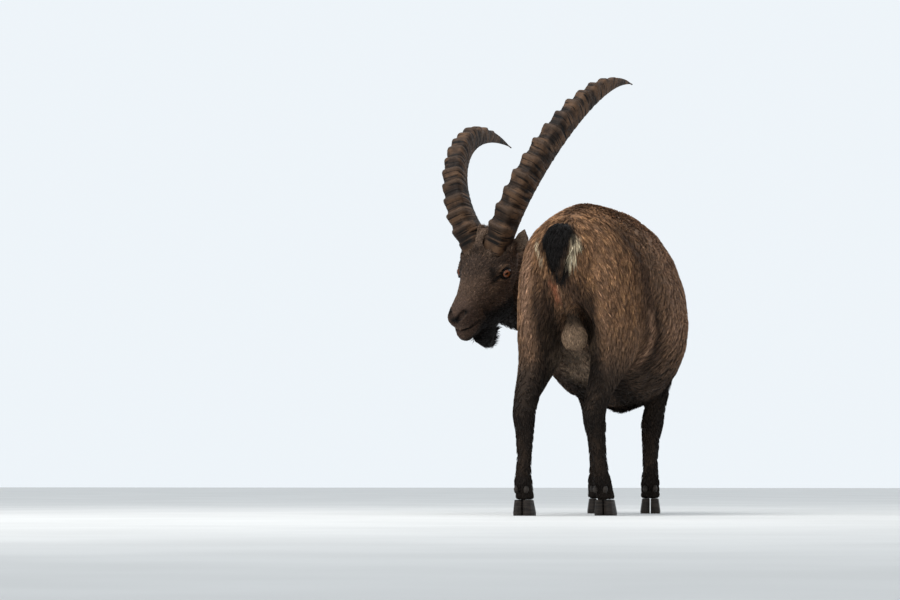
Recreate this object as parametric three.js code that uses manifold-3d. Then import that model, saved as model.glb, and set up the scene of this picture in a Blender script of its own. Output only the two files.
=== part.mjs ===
// A male alpine ibex, life size, standing on four feet and looking back over its left flank.
// Millimetres, +Z up. The body faces -Y, so the animal's left side is towards +X.
import * as THREE from "three";
import { mergeVertices } from "three/addons/utils/BufferGeometryUtils.js";
import Module from "manifold-3d";

const wasm = await Module();
wasm.setup();
const { Manifold, Mesh: SolidMesh } = wasm;

// Driving dimensions of the body
const JOINT_GAP = 0.4; // clear space left between two neighbouring pieces
const CROUP_HEIGHT = 872;
const WITHERS_HEIGHT = 866;
const BELLY_HEIGHT = 304;
const BELLY_HALF_WIDTH = 211;
const HOCK_HEIGHT = 275;
const KNEE_HEIGHT = 258;
const FETLOCK_HEIGHT = 92;
const CLAW_HEIGHT = 44;
const BEND_START = 360; // how far in front of the tail the back starts to bend to the left
const BEND_RATE = 0.0004; // sideways millimetres for each square millimetre of length
const PLUG_MARGIN = 8; // how far a leg's cut runs outside the leg
const PLUG_OUTWARD = 44; // how far the extra room beside the thigh and shoulder is set outward
const WALL_HALF_WIDTH = 12; // half of the trunk's wall between the thighs

// Driving dimensions of the head
const HEAD_SIZE = 1.08; // the head's own rows below are for a head of size 1
const HEAD_PLACE = [397, 498, 696]; // between the eyes: left of the tail's root, in front of it, up
const HEAD_TURN = 166.7; // degrees to the left from straight ahead
const HEAD_NOD = 36.7;
const HEAD_ROLL = -4.2;
const EYE_RADIUS = 17.5;
const EYE_SPREAD = 65;
const EAR_LENGTH = 112;
const HORN_HALF_WIDTH = 34;
const HORN_HALF_DEPTH = 53;
const HORN_ROOT_DEPTH = 0.035; // share of the horn that is set into the head
const KNOTS = 13;
const KNOT_RISE = 8; // by which a knot stands out in front

const COLOURS = {
  coat: 0x5b483a,
  darkCoat: 0x2b211b,
  paleCoat: 0x8b7d6c,
  black: 0x15110f,
  horn: 0x6a5848,
  claw: 0x3a322c,
  eye: 0x7a3e1c,
};

const UP = new THREE.Vector3(0, 0, 1);
const DOWN = new THREE.Vector3(0, 0, -1);

// How far left of straight ahead the back's line has bent at s in front of the tail's root, and how fast it bends there
const bendAt = (s) => BEND_RATE * Math.max(0, s - BEND_START) ** 2;
const slopeAt = (s) => 2 * BEND_RATE * Math.max(0, s - BEND_START);

// A point given by how far left, forward and up it is
const point = (left, forward, up) => new THREE.Vector3(left, -forward, up);

// The level direction of the back's line at s
function heading(s) {
  return point(slopeAt(s), 1, 0).normalize();
}

// A point beside the back's line at s, with side to the animal's left and square to the line
function beside(side, s, up) {
  const along = heading(s);
  return point(bendAt(s), s, up).addScaledVector(new THREE.Vector3(-along.y, along.x, 0), side);
}

// Rows of numbers read as smooth functions of their first column
function reader(rows) {
  const curve = new THREE.CubicInterpolant(
    rows.map((row) => row[0]),
    rows.flatMap((row) => row.slice(1)),
    rows[0].length - 1,
  );
  return (t) => Array.from(curve.evaluate(t));
}

// A closed outline about a centre: its two halves are superellipses that reach over and under it along up
function section(centre, across, up, size) {
  const { half, over, under, square, peak, sides } = size;
  return Array.from({ length: sides }, (_, i) => {
    const angle = (2 * Math.PI * i) / sides;
    const c = Math.cos(angle);
    const s = Math.sin(angle);
    const power = 2 / (s > 0 ? square - peak : square);
    const sideways = half * Math.sign(c) * Math.abs(c) ** power;
    const upward = (s > 0 ? over : under) * Math.sign(s) * Math.abs(s) ** power;
    return centre.clone().addScaledVector(across, sideways).addScaledVector(up, upward);
  });
}

// A closed geometry through outlines of equal count, with a point at each end
function skinned(outlines, first, last) {
  const sides = outlines[0].length;
  const corners = [first, ...outlines.flat(), last];
  const at = (ring, i) => 1 + ring * sides + (i % sides);
  const index = [];
  for (let i = 0; i < sides; i += 1) {
    index.push(0, at(0, i + 1), at(0, i));
    for (let ring = 0; ring + 1 < outlines.length; ring += 1) {
      index.push(at(ring, i), at(ring, i + 1), at(ring + 1, i));
      index.push(at(ring, i + 1), at(ring + 1, i + 1), at(ring + 1, i));
    }
    index.push(corners.length - 1, at(outlines.length - 1, i), at(outlines.length - 1, i + 1));
  }
  const geometry = new THREE.BufferGeometry().setFromPoints(corners);
  geometry.setIndex(index);
  return geometry;
}

// A closed geometry as a solid, turned right side out where it needs to be
function solid(geometry) {
  const bare = new THREE.BufferGeometry();
  bare.setAttribute("position", geometry.attributes.position);
  bare.setIndex(geometry.index);
  const merged = mergeVertices(bare, 1e-3);
  const triVerts = new Uint32Array(merged.index.array);
  const vertProperties = merged.attributes.position.array;
  const made = new Manifold(new SolidMesh({ numProp: 3, vertProperties, triVerts }));
  if (made.volume() > 0) return made;
  for (let i = 0; i < triVerts.length; i += 3) {
    [triVerts[i + 1], triVerts[i + 2]] = [triVerts[i + 2], triVerts[i + 1]];
  }
  return new Manifold(new SolidMesh({ numProp: 3, vertProperties, triVerts }));
}

const joined = (solids) => solids.reduce((whole, next) => whole.add(next));
const cut = (whole, cutters) => cutters.reduce((rest, cutter) => rest.subtract(cutter), whole);

// The dome that closes a loft: each ring's share of the end's size
const DOME = [0.9, 0.55];

// A solid along a path. Each row is [t, x, y, z, half width, over, under, square], and t orders the rows. "Over" points
// as near to up as the path lets it, and the outlines are square to the path, or to axis where there is one. A dome closes
// an end that has a height for one, and grow makes it all larger. Where the path is to be read level, its outlines stand
// upright.
function lofted(rows, { up, sides, rings, axis = null, level = false, start = 0, end = 0, grow = 0, peak = 0 }) {
  const read = reader(rows);
  const from = rows[0][0];
  const to = rows[rows.length - 1][0];
  const stations = Array.from({ length: rings + 1 }, (_, k) => {
    const t = from + ((to - from) * k) / rings;
    const [x, y, z, half, over, under, square] = read(t);
    const before = new THREE.Vector3(...read(Math.max(from, t - 0.1)));
    const ahead = new THREE.Vector3(...read(Math.min(to, t + 0.1))).sub(before);
    if (level) ahead.setZ(0);
    return { centre: new THREE.Vector3(x, y, z), along: axis ?? ahead.normalize(), half, over, under, square };
  });
  const outline = (station, distance, share) => {
    const across = new THREE.Vector3().crossVectors(station.along, up).normalize();
    const over = new THREE.Vector3().crossVectors(across, station.along).normalize();
    const sized = (value) => Math.max(0.5, value * share + grow);
    return section(station.centre.clone().addScaledVector(station.along, distance), across, over, {
      half: sized(station.half),
      over: sized(station.over),
      under: sized(station.under),
      square: station.square,
      peak,
      sides,
    });
  };
  const domed = (station, height) =>
    height === 0 ? [] : DOME.map((share) => outline(station, height * Math.sqrt(1 - share ** 2), share));
  const first = stations[0];
  const last = stations[rings];
  const outlines = [
    ...domed(first, -start).reverse(),
    ...stations.map((station) => outline(station, 0, 1)),
    ...domed(last, end),
  ];
  const tip = (station, distance) => station.centre.clone().addScaledVector(station.along, distance);
  return solid(skinned(outlines, tip(first, -start - grow), tip(last, end + grow)));
}

function ball(place, radii, turn = [0, 0, 0], wide = 10, high = 7) {
  const geometry = new THREE.SphereGeometry(1, wide, high);
  geometry.scale(...radii);
  geometry.applyMatrix4(new THREE.Matrix4().makeRotationFromEuler(new THREE.Euler(...turn)));
  geometry.translate(...place);
  return solid(geometry);
}

// Trunk, from the buttocks to the front of the chest: [s, widest level, half width, up to the back, down to the belly,
// square]
const TRUNK = [
  [-52, 730, 56, 42, 92, 2.1],
  [-20, 728, 100, 76, 138, 2.1],
  [30, 716, 128, 112, 176, 2.1],
  [90, 698, 147, 150, 210, 2.1],
  [160, 664, 165, CROUP_HEIGHT - 670, 224, 2.1],
  [240, 620, 184, CROUP_HEIGHT - 622, 236, 2.1],
  [330, 576, 202, CROUP_HEIGHT - 577, 240, 2.1],
  [430, 546, BELLY_HALF_WIDTH, CROUP_HEIGHT - 549, 546 - BELLY_HEIGHT, 2.15],
  [520, 541, 212, CROUP_HEIGHT - 548, 541 - BELLY_HEIGHT, 2.15],
  [610, 556, 201, 306, 556 - BELLY_HEIGHT, 2.2],
  [690, 586, 178, WITHERS_HEIGHT - 586, 288, 2.1],
  [760, 610, 152, WITHERS_HEIGHT - 614, 300, 2.0],
  [830, 632, 125, 205, 262, 2.0],
  [885, 645, 97, 160, 188, 2.0],
  [920, 650, 60, 106, 126, 2.0],
];

function trunk(grow) {
  const rows = TRUNK.map(([s, level, ...sizes]) => [s, ...beside(0, s, level), ...sizes]);
  return lofted(rows, { up: UP, sides: 20, rings: 13, level: true, start: 12, end: 20, grow, peak: 0.35 });
}

// Neck, from inside the chest round to the back of the head: [t, left, forward, up, half width, over, under, square]
const NECK = [
  [0, 44, 740, 668, 92, 150, 200, 2.1],
  [1, 104, 808, 684, 106, 150, 236, 2.0],
  [2, 184, 850, 698, 96, 126, 218, 1.85],
  [3, 270, 846, 704, 88, 106, 196, 1.8],
  [4, 340, 792, 710, 82, 96, 184, 1.8],
  [5, 380, 712, 716, 76, 92, 184, 1.9],
  [6, 396, 636, 716, 66, 80, 166, 1.95],
];

function neck(grow) {
  const rows = NECK.map(([t, left, forward, up, ...sizes]) => [t, ...point(left, forward, up), ...sizes]);
  return lofted(rows, { up: UP, sides: 12, rings: 8, start: 20, end: 20, grow });
}

// Head's own frame: the nose points along +X, the left ear along +Y, the horns up, and the eyes' middle is at 0
const headFrame = new THREE.Matrix4()
  .makeTranslation(...point(...HEAD_PLACE))
  .multiply(new THREE.Matrix4().makeRotationZ(THREE.MathUtils.degToRad(HEAD_TURN - 90)))
  .multiply(new THREE.Matrix4().makeRotationY(THREE.MathUtils.degToRad(HEAD_NOD)))
  .multiply(new THREE.Matrix4().makeRotationX(THREE.MathUtils.degToRad(HEAD_ROLL)));
const enlarged = headFrame.clone().scale(new THREE.Vector3(HEAD_SIZE, HEAD_SIZE, HEAD_SIZE));
const inHead = (part) => part.transform(enlarged.elements);

// Face and skull from the nose back: [t, x, y, middle level, half width, over, under, square]
const SKULL = [
  [0, 194, 0, -34, 21, 13, 23, 2.3],
  [1, 187, 0, -31, 28, 20, 33, 2.4],
  [2, 174, 0, -26, 32, 28, 40, 2.4],
  [3, 154, 0, -23, 33, 31, 40, 2.3],
  [4, 126, 0, -20, 35, 35, 43, 2.2],
  [5, 96, 0, -18, 40, 41, 56, 2.1],
  [6, 66, 0, -14, 48, 47, 74, 2.1],
  [7, 36, 0, -8, 56, 54, 92, 2.1],
  [8, 8, 0, -2, 62, 64, 104, 2.15],
  [9, -22, 0, 0, 65, 77, 110, 2.2],
  [10, -52, 0, 0, 63, 88, 110, 2.2],
  [11, -84, 0, -6, 58, 84, 100, 2.1],
  [12, -112, 0, -14, 46, 64, 80, 2.0],
];

// Lower jaw from the chin back, in the same columns
const JAW = [
  [0, 188, 0, -72, 15, 16, 23, 2.0],
  [1, 177, 0, -71, 24, 24, 34, 2.1],
  [2, 156, 0, -70, 29, 26, 38, 2.1],
  [3, 124, 0, -69, 33, 28, 42, 2.1],
  [4, 90, 0, -69, 38, 32, 52, 2.1],
  [5, 50, 0, -67, 45, 38, 72, 2.1],
  [6, 12, 0, -63, 52, 46, 94, 2.1],
  [7, -26, 0, -60, 54, 48, 106, 2.1],
];

function head(grow) {
  const skull = lofted(SKULL, { up: UP, sides: 16, rings: 11, start: 4, end: 16, grow });
  const jaw = lofted(JAW, { up: UP, sides: 10, rings: 6, start: 4, end: 22, grow });
  const sideForms = [1, -1].flatMap((side) => [
    ball([2, side * 56, 6], [32 + grow, 22 + grow, 28 + grow], [0, 0, side * -0.2], 8, 6), // orbit
    ball([-24, side * 47, 32], [42 + grow, 26 + grow, 36 + grow], [0, 0, side * -0.2], 8, 6), // temple
    ball([176, side * 17, -20], [16 + grow, 13 + grow, 15 + grow], [0, 0, side * -0.25], 7, 4), // wing of the nose
  ]);
  const crown = ball([-46, 0, 50], [56 + grow, 50 + grow, 56 + grow], [0, 0, 0], 10, 8);
  return inHead(joined([skull, jaw, crown, ...sideForms]));
}

function nostrils() {
  return inHead(joined([1, -1].map((side) => ball([186, side * 19, -11], [12, 8, 5.5], [0, 0.5, side * -0.7], 5, 4))));
}

function eye(side, grow) {
  const radius = EYE_RADIUS / HEAD_SIZE + grow;
  return inHead(ball([1, side * EYE_SPREAD, 1], [radius, radius, radius], [0, 0, 0], 10, 6));
}

// Ear, a pointed leaf with a hollow: [share of its length, share of its half width, half thickness]
const EAR = [
  [0, 0.36, 9],
  [0.14, 0.56, 9],
  [0.32, 0.9, 7],
  [0.5, 1, 5.5],
  [0.72, 0.8, 4],
  [0.9, 0.42, 3],
  [0.99, 0.1, 2],
];
const EAR_HALF_WIDTH = 22;
const EAR_TILT = { left: 0.54, right: 0.38 }; // outward from straight up, in radians

function ear(side, grow) {
  const length = EAR_LENGTH / HEAD_SIZE;
  const rows = EAR.map(([share, wide, thick]) => [
    share,
    0,
    5 * Math.sin(2.2 * share),
    length * share,
    EAR_HALF_WIDTH * wide,
    thick,
    thick,
    2,
  ]);
  const blade = lofted(rows, { up: new THREE.Vector3(0, 1, 0), sides: 8, rings: 6, start: 6, end: 2, grow });
  const hollow = ball([0, 13, length * 0.52], [17, 9.5, length * 0.36], [0, 0, 0], 6, 5);
  const stand = new THREE.Matrix4()
    .makeTranslation(-98, side * 62, 8)
    .multiply(new THREE.Matrix4().makeRotationX(-side * EAR_TILT[side > 0 ? "left" : "right"]))
    .multiply(new THREE.Matrix4().makeRotationY(0.2))
    .multiply(new THREE.Matrix4().makeRotationZ(side > 0 ? -1.35 : 1.35 - Math.PI));
  return inHead(cut(blade, [hollow]).transform(stand.elements));
}

// Horns: each path is a root and four handles measured from it, and the two horns aren't quite alike
const HORN_ROOT = new THREE.Vector3(-65, 41, 66);
const HORN_HANDLES = {
  left: [[-67, 64, 149], [-267, 149, 261], [-497, 189, 276], [-680, 155, 115]],
  right: [[-40, 80, 140], [-203, 119, 208], [-413, 159, 153], [-625, 205, -80]],
};
const KNOTS_END = 0.84; // share of the horn that carries knots
const KNOT_PHASES = [0, 0.7]; // rings on each knot: its foot and its crest
const SMOOTH_RINGS = 5;

// Half of a horn's outline from the flat front to the round back: [share of half width, share of half depth]
const HORN_OUTLINE = [
  [0, 1.02],
  [0.8, 0.92],
  [1, 0.25],
  [0.68, -0.68],
  [0, -1],
];

function hornPath(side) {
  const handles = HORN_HANDLES[side > 0 ? "left" : "right"].map((h) => HORN_ROOT.clone().add(new THREE.Vector3(...h)));
  const points = [HORN_ROOT, ...handles].map((p) => new THREE.Vector3(p.x, p.y * side, p.z));
  const last = points.length - 1;
  const choose = [1, 4, 6, 4, 1];
  return (t) =>
    points.reduce(
      (sum, p, i) => sum.addScaledVector(p, choose[i] * t ** i * (1 - t) ** (last - i)),
      new THREE.Vector3(),
    );
}

// Where the horn's rings are, with how far each stands up its knot
function hornRings() {
  const rings = [{ t: -HORN_ROOT_DEPTH, rise: 0 }];
  for (let knot = 0; knot < KNOTS; knot += 1) {
    const fade = Math.min(1, (KNOTS - knot) / 3);
    for (const phase of KNOT_PHASES) {
      const rise = phase > 0 ? fade : 0;
      rings.push({ t: 0.02 + (KNOTS_END * (knot + phase)) / KNOTS, rise });
    }
  }
  for (let k = 1; k <= SMOOTH_RINGS; k += 1) {
    rings.push({ t: 0.02 + KNOTS_END + ((0.975 - KNOTS_END) * (k - 1)) / (SMOOTH_RINGS - 1), rise: 0 });
  }
  return rings;
}

function horn(side, grow, rings = hornRings()) {
  const at = hornPath(side);
  const outlines = rings.map(({ t, rise }) => {
    const along = at(t + 0.01).sub(at(t - 0.01)).normalize();
    const front = new THREE.Vector3().crossVectors(new THREE.Vector3(0, 1, 0), along).normalize();
    const outward = new THREE.Vector3().crossVectors(along, front).normalize();
    const taper = Math.max(0.05, 1 - Math.max(0, t) ** 3.2) * (1 - 0.28 * t);
    const forms = [...HORN_OUTLINE, ...HORN_OUTLINE.slice(1, -1).reverse().map(([w, d]) => [-w, d])];
    return forms.map(([wide, deep]) => {
      const knot = deep > 0.5 ? KNOT_RISE * rise : 0;
      const sideways = wide * HORN_HALF_WIDTH * taper * (1 + 0.04 * rise) + Math.sign(wide) * grow;
      const forward = deep * HORN_HALF_DEPTH * taper + knot + Math.sign(deep) * grow;
      return at(t).addScaledVector(outward, sideways).addScaledVector(front, forward);
    });
  });
  const first = at(rings[0].t);
  return solid(skinned(outlines, first, at(rings[rings.length - 1].t + 0.01))).transform(headFrame.elements);
}

// The room that a horn's root takes up in the head, smooth and wide enough for its knots
function hornSocket(side) {
  const rings = [-HORN_ROOT_DEPTH - 0.002, 0.05, 0.12, 0.2].map((t) => ({ t, rise: 1 }));
  return horn(side, 2, rings);
}

// Legs from the hip and the shoulder down: [t, out from the back's line, s, up, half width, in front, behind, square].
// A foot's step is how far the lower leg leans forward, and its set is how far it leans outward.
const hindLeg = ({ step, out }) => [
  [0, 76, 92, 735, 62, 88, 92, 2.1],
  [1, 80, 100, 665, 74, 132, 128, 2.1],
  [2, 88, 122, 580, 75, 178, 148, 2.1],
  [3, 98 + out * 0.2, 150, 500, 70, 162, 146, 2.1],
  [4, 102 + out * 0.5, 140 + step * 0.1, 430, 57, 112, 108, 2.1],
  [5, 100 + out * 0.8, 86 + step * 0.2, 375, 45, 72, 72, 2.1],
  [6, 96 + out, 28 + step * 0.32, 325, 36, 48, 50, 2.0],
  [7, 92 + out, -8 + step * 0.45, HOCK_HEIGHT, 33, 34, 42, 2.0],
  [8, 92 + out, 0 + step * 0.6, 225, 27, 26, 30, 2.0],
  [9, 94 + out, 4 + step * 0.76, 160, 22, 22, 24, 2.0],
  [10, 96 + out, 4 + step * 0.88, 118, 23, 24, 25, 2.0],
  [11, 97 + out, 6 + step * 0.93, FETLOCK_HEIGHT, 27, 27, 30, 2.0],
  [12, 98 + out, 20 + step * 0.98, 64, 26, 25, 28, 2.0],
  [13, 99 + out, 32 + step, CLAW_HEIGHT - 14, 28, 32, 30, 2.1],
];
const foreLeg = ({ step, out }) => [
  [0, 88, 742, 730, 44, 72, 70, 2.1],
  [1, 104, 744, 650, 58, 100, 92, 2.1],
  [2, 114, 738, 560, 60, 100, 96, 2.1],
  [3, 118, 722, 480, 52, 76, 86, 2.1],
  [4, 114 + out * 0.4, 710, 415, 43, 52, 62, 2.1],
  [5, 104 + out * 0.7, 708, 350, 37, 42, 46, 2.0],
  [6, 95 + out, 712 + step * 0.3, 300, 33, 35, 35, 2.0],
  [7, 88 + out, 716 + step * 0.5, KNEE_HEIGHT, 35, 36, 33, 2.0],
  [8, 84 + out, 712 + step * 0.6, 216, 28, 26, 28, 2.0],
  [9, 82 + out, 708 + step * 0.8, 160, 24, 22, 24, 2.0],
  [10, 82 + out, 708 + step * 0.9, 118, 25, 24, 26, 2.0],
  [11, 82 + out, 710 + step, FETLOCK_HEIGHT, 29, 28, 31, 2.0],
  [12, 82 + out, 724 + step, 64, 28, 26, 29, 2.0],
  [13, 82 + out, 736 + step, CLAW_HEIGHT - 14, 30, 33, 31, 2.1],
];
const LEGS = [
  { name: "hind_leg_left", foot: "hind_claw_left", side: 1, rows: hindLeg({ step: -14, out: 20 }), front: false },
  { name: "hind_leg_right", foot: "hind_claw_right", side: -1, rows: hindLeg({ step: 96, out: -20 }), front: false },
  { name: "fore_leg_left", foot: "fore_claw_left", side: 1, rows: foreLeg({ step: 0, out: -12 }), front: true },
  { name: "fore_leg_right", foot: "fore_claw_right", side: -1, rows: foreLeg({ step: 0, out: 2 }), front: true },
];

const placedLeg = (rows, side) => rows.map(([t, out, s, up, ...sizes]) => [t, ...beside(out * side, s, up), ...sizes]);

function leg({ rows, side }, grow = 0) {
  const up = heading(rows[7][2]);
  return lofted(placedLeg(rows, side), { up, sides: 10, rings: 13, axis: DOWN, start: 40, grow });
}

// The room that a leg's piece takes out of the body: the leg with a margin, and more room outside its upper part, so
// that the cut meets the coat steeply
function legRoom(each, grow) {
  const upper = each.rows.slice(0, 5).map(([t, out, ...rest]) => [t, out + PLUG_OUTWARD, ...rest]);
  const outside = lofted(placedLeg(upper, each.side), {
    up: heading(each.rows[7][2]),
    sides: 8,
    rings: 4,
    axis: DOWN,
    start: 40,
    end: 20,
    grow: PLUG_MARGIN + grow,
  });
  return cut(joined([leg(each, PLUG_MARGIN + grow), outside]), [middleWall(grow), belowClawTop(grow)]);
}

// The wall of the trunk that stays between the two thighs
function middleWall(grow) {
  const geometry = new THREE.BoxGeometry(2 * (WALL_HALF_WIDTH - grow), BEND_START + 200, CROUP_HEIGHT);
  geometry.translate(0, -BEND_START / 2 + 100, CROUP_HEIGHT / 2 + HOCK_HEIGHT + 80);
  return solid(geometry);
}

// Everything under the tops of the claws
function belowClawTop(grow) {
  const geometry = new THREE.BoxGeometry(2000, 3000, 200);
  geometry.translate(0, 0, CLAW_HEIGHT - 100 - grow);
  return solid(geometry);
}

// A claw's outline from above, from its inner face round its toe: [share of its width, share of its length]
const CLAW_OUTLINE = [
  [0, -0.8],
  [0, 0.74],
  [0.25, 1],
  [0.62, 0.8],
  [0.93, 0.3],
  [1, -0.25],
  [0.88, -0.78],
  [0.42, -1],
];
const CLAW_SLIT = 1.6; // half of the space between a foot's two claws
const CLAW_WIDTH = 27;
const CLAW_LENGTH = 37;

// One of a foot's two claws: its sole is flat on the floor, and its wall leans back towards the leg
function claw({ rows, side }, outer) {
  const [, out, s] = rows[rows.length - 1];
  const levels = [
    [0, 0, 1],
    [7, 0, 1.03],
    [CLAW_HEIGHT - JOINT_GAP, -7, 0.84],
  ];
  const outlines = levels.map(([up, back, share]) =>
    CLAW_OUTLINE.map(([wide, long]) =>
      beside(out * side + outer * (CLAW_SLIT + wide * CLAW_WIDTH * share), s + back + long * CLAW_LENGTH * share, up),
    ),
  );
  const middle = (ring) => ring.reduce((sum, p) => sum.add(p), new THREE.Vector3()).divideScalar(ring.length);
  return solid(skinned(outlines, middle(outlines[0]), middle(outlines[2])));
}

// One of the two small claws at the back of the fetlock, which leans forward under it
const DEWCLAW_SET = 12;

function dewclaw({ rows, side }, outer) {
  const [, out, s, , , , behind] = rows[11];
  const place = beside(out * side + outer * 14, s - behind + DEWCLAW_SET, FETLOCK_HEIGHT - 20);
  return ball(place, [8, 10, 13], [0.4, 0, 0], 6, 4);
}

// Tail, short and flat, hanging against the rump
const TAIL = [
  [0, 4, -22, 792, 36, 14, 14, 2.2],
  [1, 2, -52, 770, 43, 15, 15, 2.2],
  [2, -1, -70, 728, 38, 14, 12, 2.2],
  [3, -6, -78, 690, 27, 12, 11, 2.1],
  [4, -11, -82, 656, 15, 9, 8, 2.0],
  [5, -14, -83, 636, 6, 5, 5, 2.0],
];

function tail() {
  const rows = TAIL.map(([t, left, forward, up, ...sizes]) => [t, ...point(left, forward, up), ...sizes]);
  return lofted(rows, { up: new THREE.Vector3(0, 1, 0.3).normalize(), sides: 8, rings: 6, start: 8, end: 3 });
}

// Scrotum, hanging between the thighs in a hollow of its own
const SCROTUM = [
  [0, -8, 40, 592, 13, 14, 14, 2],
  [1, -13, 36, 530, 22, 22, 22, 2],
  [2, -18, 32, 488, 40, 36, 36, 2],
  [3, -18, 32, 460, 30, 28, 28, 2],
];
const HOLLOW_PLACE = point(-21, 14, 500);
const HOLLOW_RADII = [58, 68, 78];

function hollow(grow) {
  const radii = HOLLOW_RADII.map((radius) => radius + grow);
  return ball(HOLLOW_PLACE, radii, [0, 0, 0], 12, 8);
}

function scrotum() {
  const rows = SCROTUM.map(([t, left, forward, up, ...sizes]) => [t, ...point(left, forward, up), ...sizes]);
  return lofted(rows, { up: point(0, 1, 0), sides: 10, rings: 5, start: 8, end: 11 });
}

// Beard, a short keel of long hair along the jaw: [t, x, y, z, half width, in front, behind, square]
const BEARD = [
  [0, 74, 0, -104, 25, 74, 128, 2.2],
  [1, 66, 0, -136, 21, 57, 118, 2.2],
  [2, 52, 0, -160, 14, 46, 90, 2.1],
  [3, 38, 0, -178, 5, 32, 58, 2.0],
];

function beard() {
  return inHead(lofted(BEARD, { up: new THREE.Vector3(1, 0, 0), sides: 10, rings: 4, end: 3 }));
}

const group = new THREE.Group();

// A finished piece as a named mesh
function piece(name, made, colour, roughness) {
  const { numProp, numVert, triVerts, vertProperties } = made.getMesh();
  const positions = new Float32Array(numVert * 3);
  for (let i = 0; i < numVert; i += 1) {
    positions.set(vertProperties.subarray(i * numProp, i * numProp + 3), i * 3);
  }
  const geometry = new THREE.BufferGeometry();
  geometry.setAttribute("position", new THREE.BufferAttribute(positions, 3));
  geometry.setIndex(new THREE.BufferAttribute(triVerts, 1));
  geometry.computeVertexNormals();
  const material = new THREE.MeshStandardMaterial({ color: colour, roughness, metalness: 0 });
  const mesh = new THREE.Mesh(geometry, material);
  mesh.name = name;
  group.add(mesh);
}

const SIDES = { left: 1, right: -1 };

// Trunk and legs are one body, parted where the legs' rooms meet it
const body = cut(joined([trunk(0), ...LEGS.map((each) => leg(each))]), [hollow(0)]);
const bodyRoom = trunk(JOINT_GAP);
const legRooms = LEGS.map((each) => legRoom(each, JOINT_GAP));
const hollowedRoom = cut(joined([bodyRoom, ...legRooms]), [hollow(-JOINT_GAP)]);
piece("trunk", cut(body, [...legRooms, belowClawTop(0)]), COLOURS.coat, 0.9);
for (const each of LEGS) {
  piece(each.name, body.intersect(legRoom(each, 0)), COLOURS.darkCoat, 0.9);
  const feet = { outer: each.side, inner: -each.side };
  for (const [place, outer] of Object.entries(feet)) {
    piece(`${each.foot}_${place}`, claw(each, outer), COLOURS.claw, 0.6);
    piece(`${each.foot}_${place}_dew`, cut(dewclaw(each, outer), [leg(each, JOINT_GAP)]), COLOURS.claw, 0.6);
  }
}

// Neck and head, each giving way to what it grows out of
const neckRoom = neck(JOINT_GAP);
const headRoom = head(JOINT_GAP);
const sockets = Object.values(SIDES).flatMap((side) => [hornSocket(side), eye(side, JOINT_GAP)]);
piece("neck", cut(neck(0), [bodyRoom, ...legRooms]), COLOURS.coat, 0.9);
piece("head", cut(head(0), [neckRoom, nostrils(), ...sockets]), COLOURS.coat, 0.85);
for (const [name, side] of Object.entries(SIDES)) {
  piece(`horn_${name}`, horn(side, 0), COLOURS.horn, 0.75);
  piece(`eye_${name}`, eye(side, 0), COLOURS.eye, 0.15);
  piece(`ear_${name}`, cut(ear(side, 0), [headRoom, neckRoom, hornSocket(side)]), COLOURS.coat, 0.9);
}
piece("beard", cut(beard(), [headRoom, neckRoom]), COLOURS.darkCoat, 0.95);
piece("scrotum", cut(scrotum(), [hollowedRoom]), COLOURS.paleCoat, 0.9);
piece("tail", cut(tail(), [bodyRoom]), COLOURS.black, 0.95);

// The origin is on the floor, at the middle of the animal's outline seen from above
const outline = new THREE.Box3().setFromObject(group, true);
const middle = outline.getCenter(new THREE.Vector3());
group.position.set(-middle.x, -middle.y, 0);

export default group;
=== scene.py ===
# %% [markdown]
# # A museum model of an alpine ibex
#
# A male ibex stands with its back to us and turns its head over its left side. A measured model, loaded
# first, gives every part its true size and place. This lesson dresses it: one closed skin is made from
# the measured flesh, a coat of many thousand small tufts grows on the skin, and the eyes, horns and
# claws get their own finer shapes.

# %% Load the measured model
import math

import bpy
import numpy as np
from mathutils import Matrix, Vector
from mathutils.bvhtree import BVHTree


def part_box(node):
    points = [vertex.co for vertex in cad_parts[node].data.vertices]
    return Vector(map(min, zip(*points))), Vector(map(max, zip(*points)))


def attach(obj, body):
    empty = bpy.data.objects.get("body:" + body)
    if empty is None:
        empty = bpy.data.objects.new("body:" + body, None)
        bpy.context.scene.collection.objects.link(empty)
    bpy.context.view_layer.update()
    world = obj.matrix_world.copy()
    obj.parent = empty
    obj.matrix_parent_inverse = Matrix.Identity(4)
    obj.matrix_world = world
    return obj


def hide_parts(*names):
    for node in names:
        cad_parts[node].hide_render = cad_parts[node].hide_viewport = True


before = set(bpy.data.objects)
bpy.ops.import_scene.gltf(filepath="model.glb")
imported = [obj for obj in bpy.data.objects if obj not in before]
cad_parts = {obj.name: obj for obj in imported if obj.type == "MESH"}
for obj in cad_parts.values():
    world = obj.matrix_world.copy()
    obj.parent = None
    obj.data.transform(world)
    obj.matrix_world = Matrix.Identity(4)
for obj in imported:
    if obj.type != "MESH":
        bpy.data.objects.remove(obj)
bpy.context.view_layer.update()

print("measured model:", len(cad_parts), "nodes")

# %% [markdown]
# ## Two sets of directions
#
# The body is described from the root of the tail: so far to the left, so far ahead, so far up. The head
# has its own directions, because it is turned and nodded: x runs to the nose, y to its left ear and z
# to its horns, with the origin between the eyes. Every later shape and marking is placed in one of
# these two.

# %% The head's own directions
MM = 0.001
HEAD_SIZE = 1.08  # the head's forms are drawn for a head of size 1
HEAD_TURN = math.radians(166.7 - 90)
HEAD_NOD = math.radians(36.7)
HEAD_ROLL = math.radians(-4.2)
HEAD_PLACE = Vector((397, -498, 696)) * MM  # from the root of the tail, on the floor
EYES_MIDDLE = Vector((1, 0, 1)) * HEAD_SIZE * MM


def middle_of(node):
    low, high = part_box(node)
    return (low + high) / 2


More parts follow.
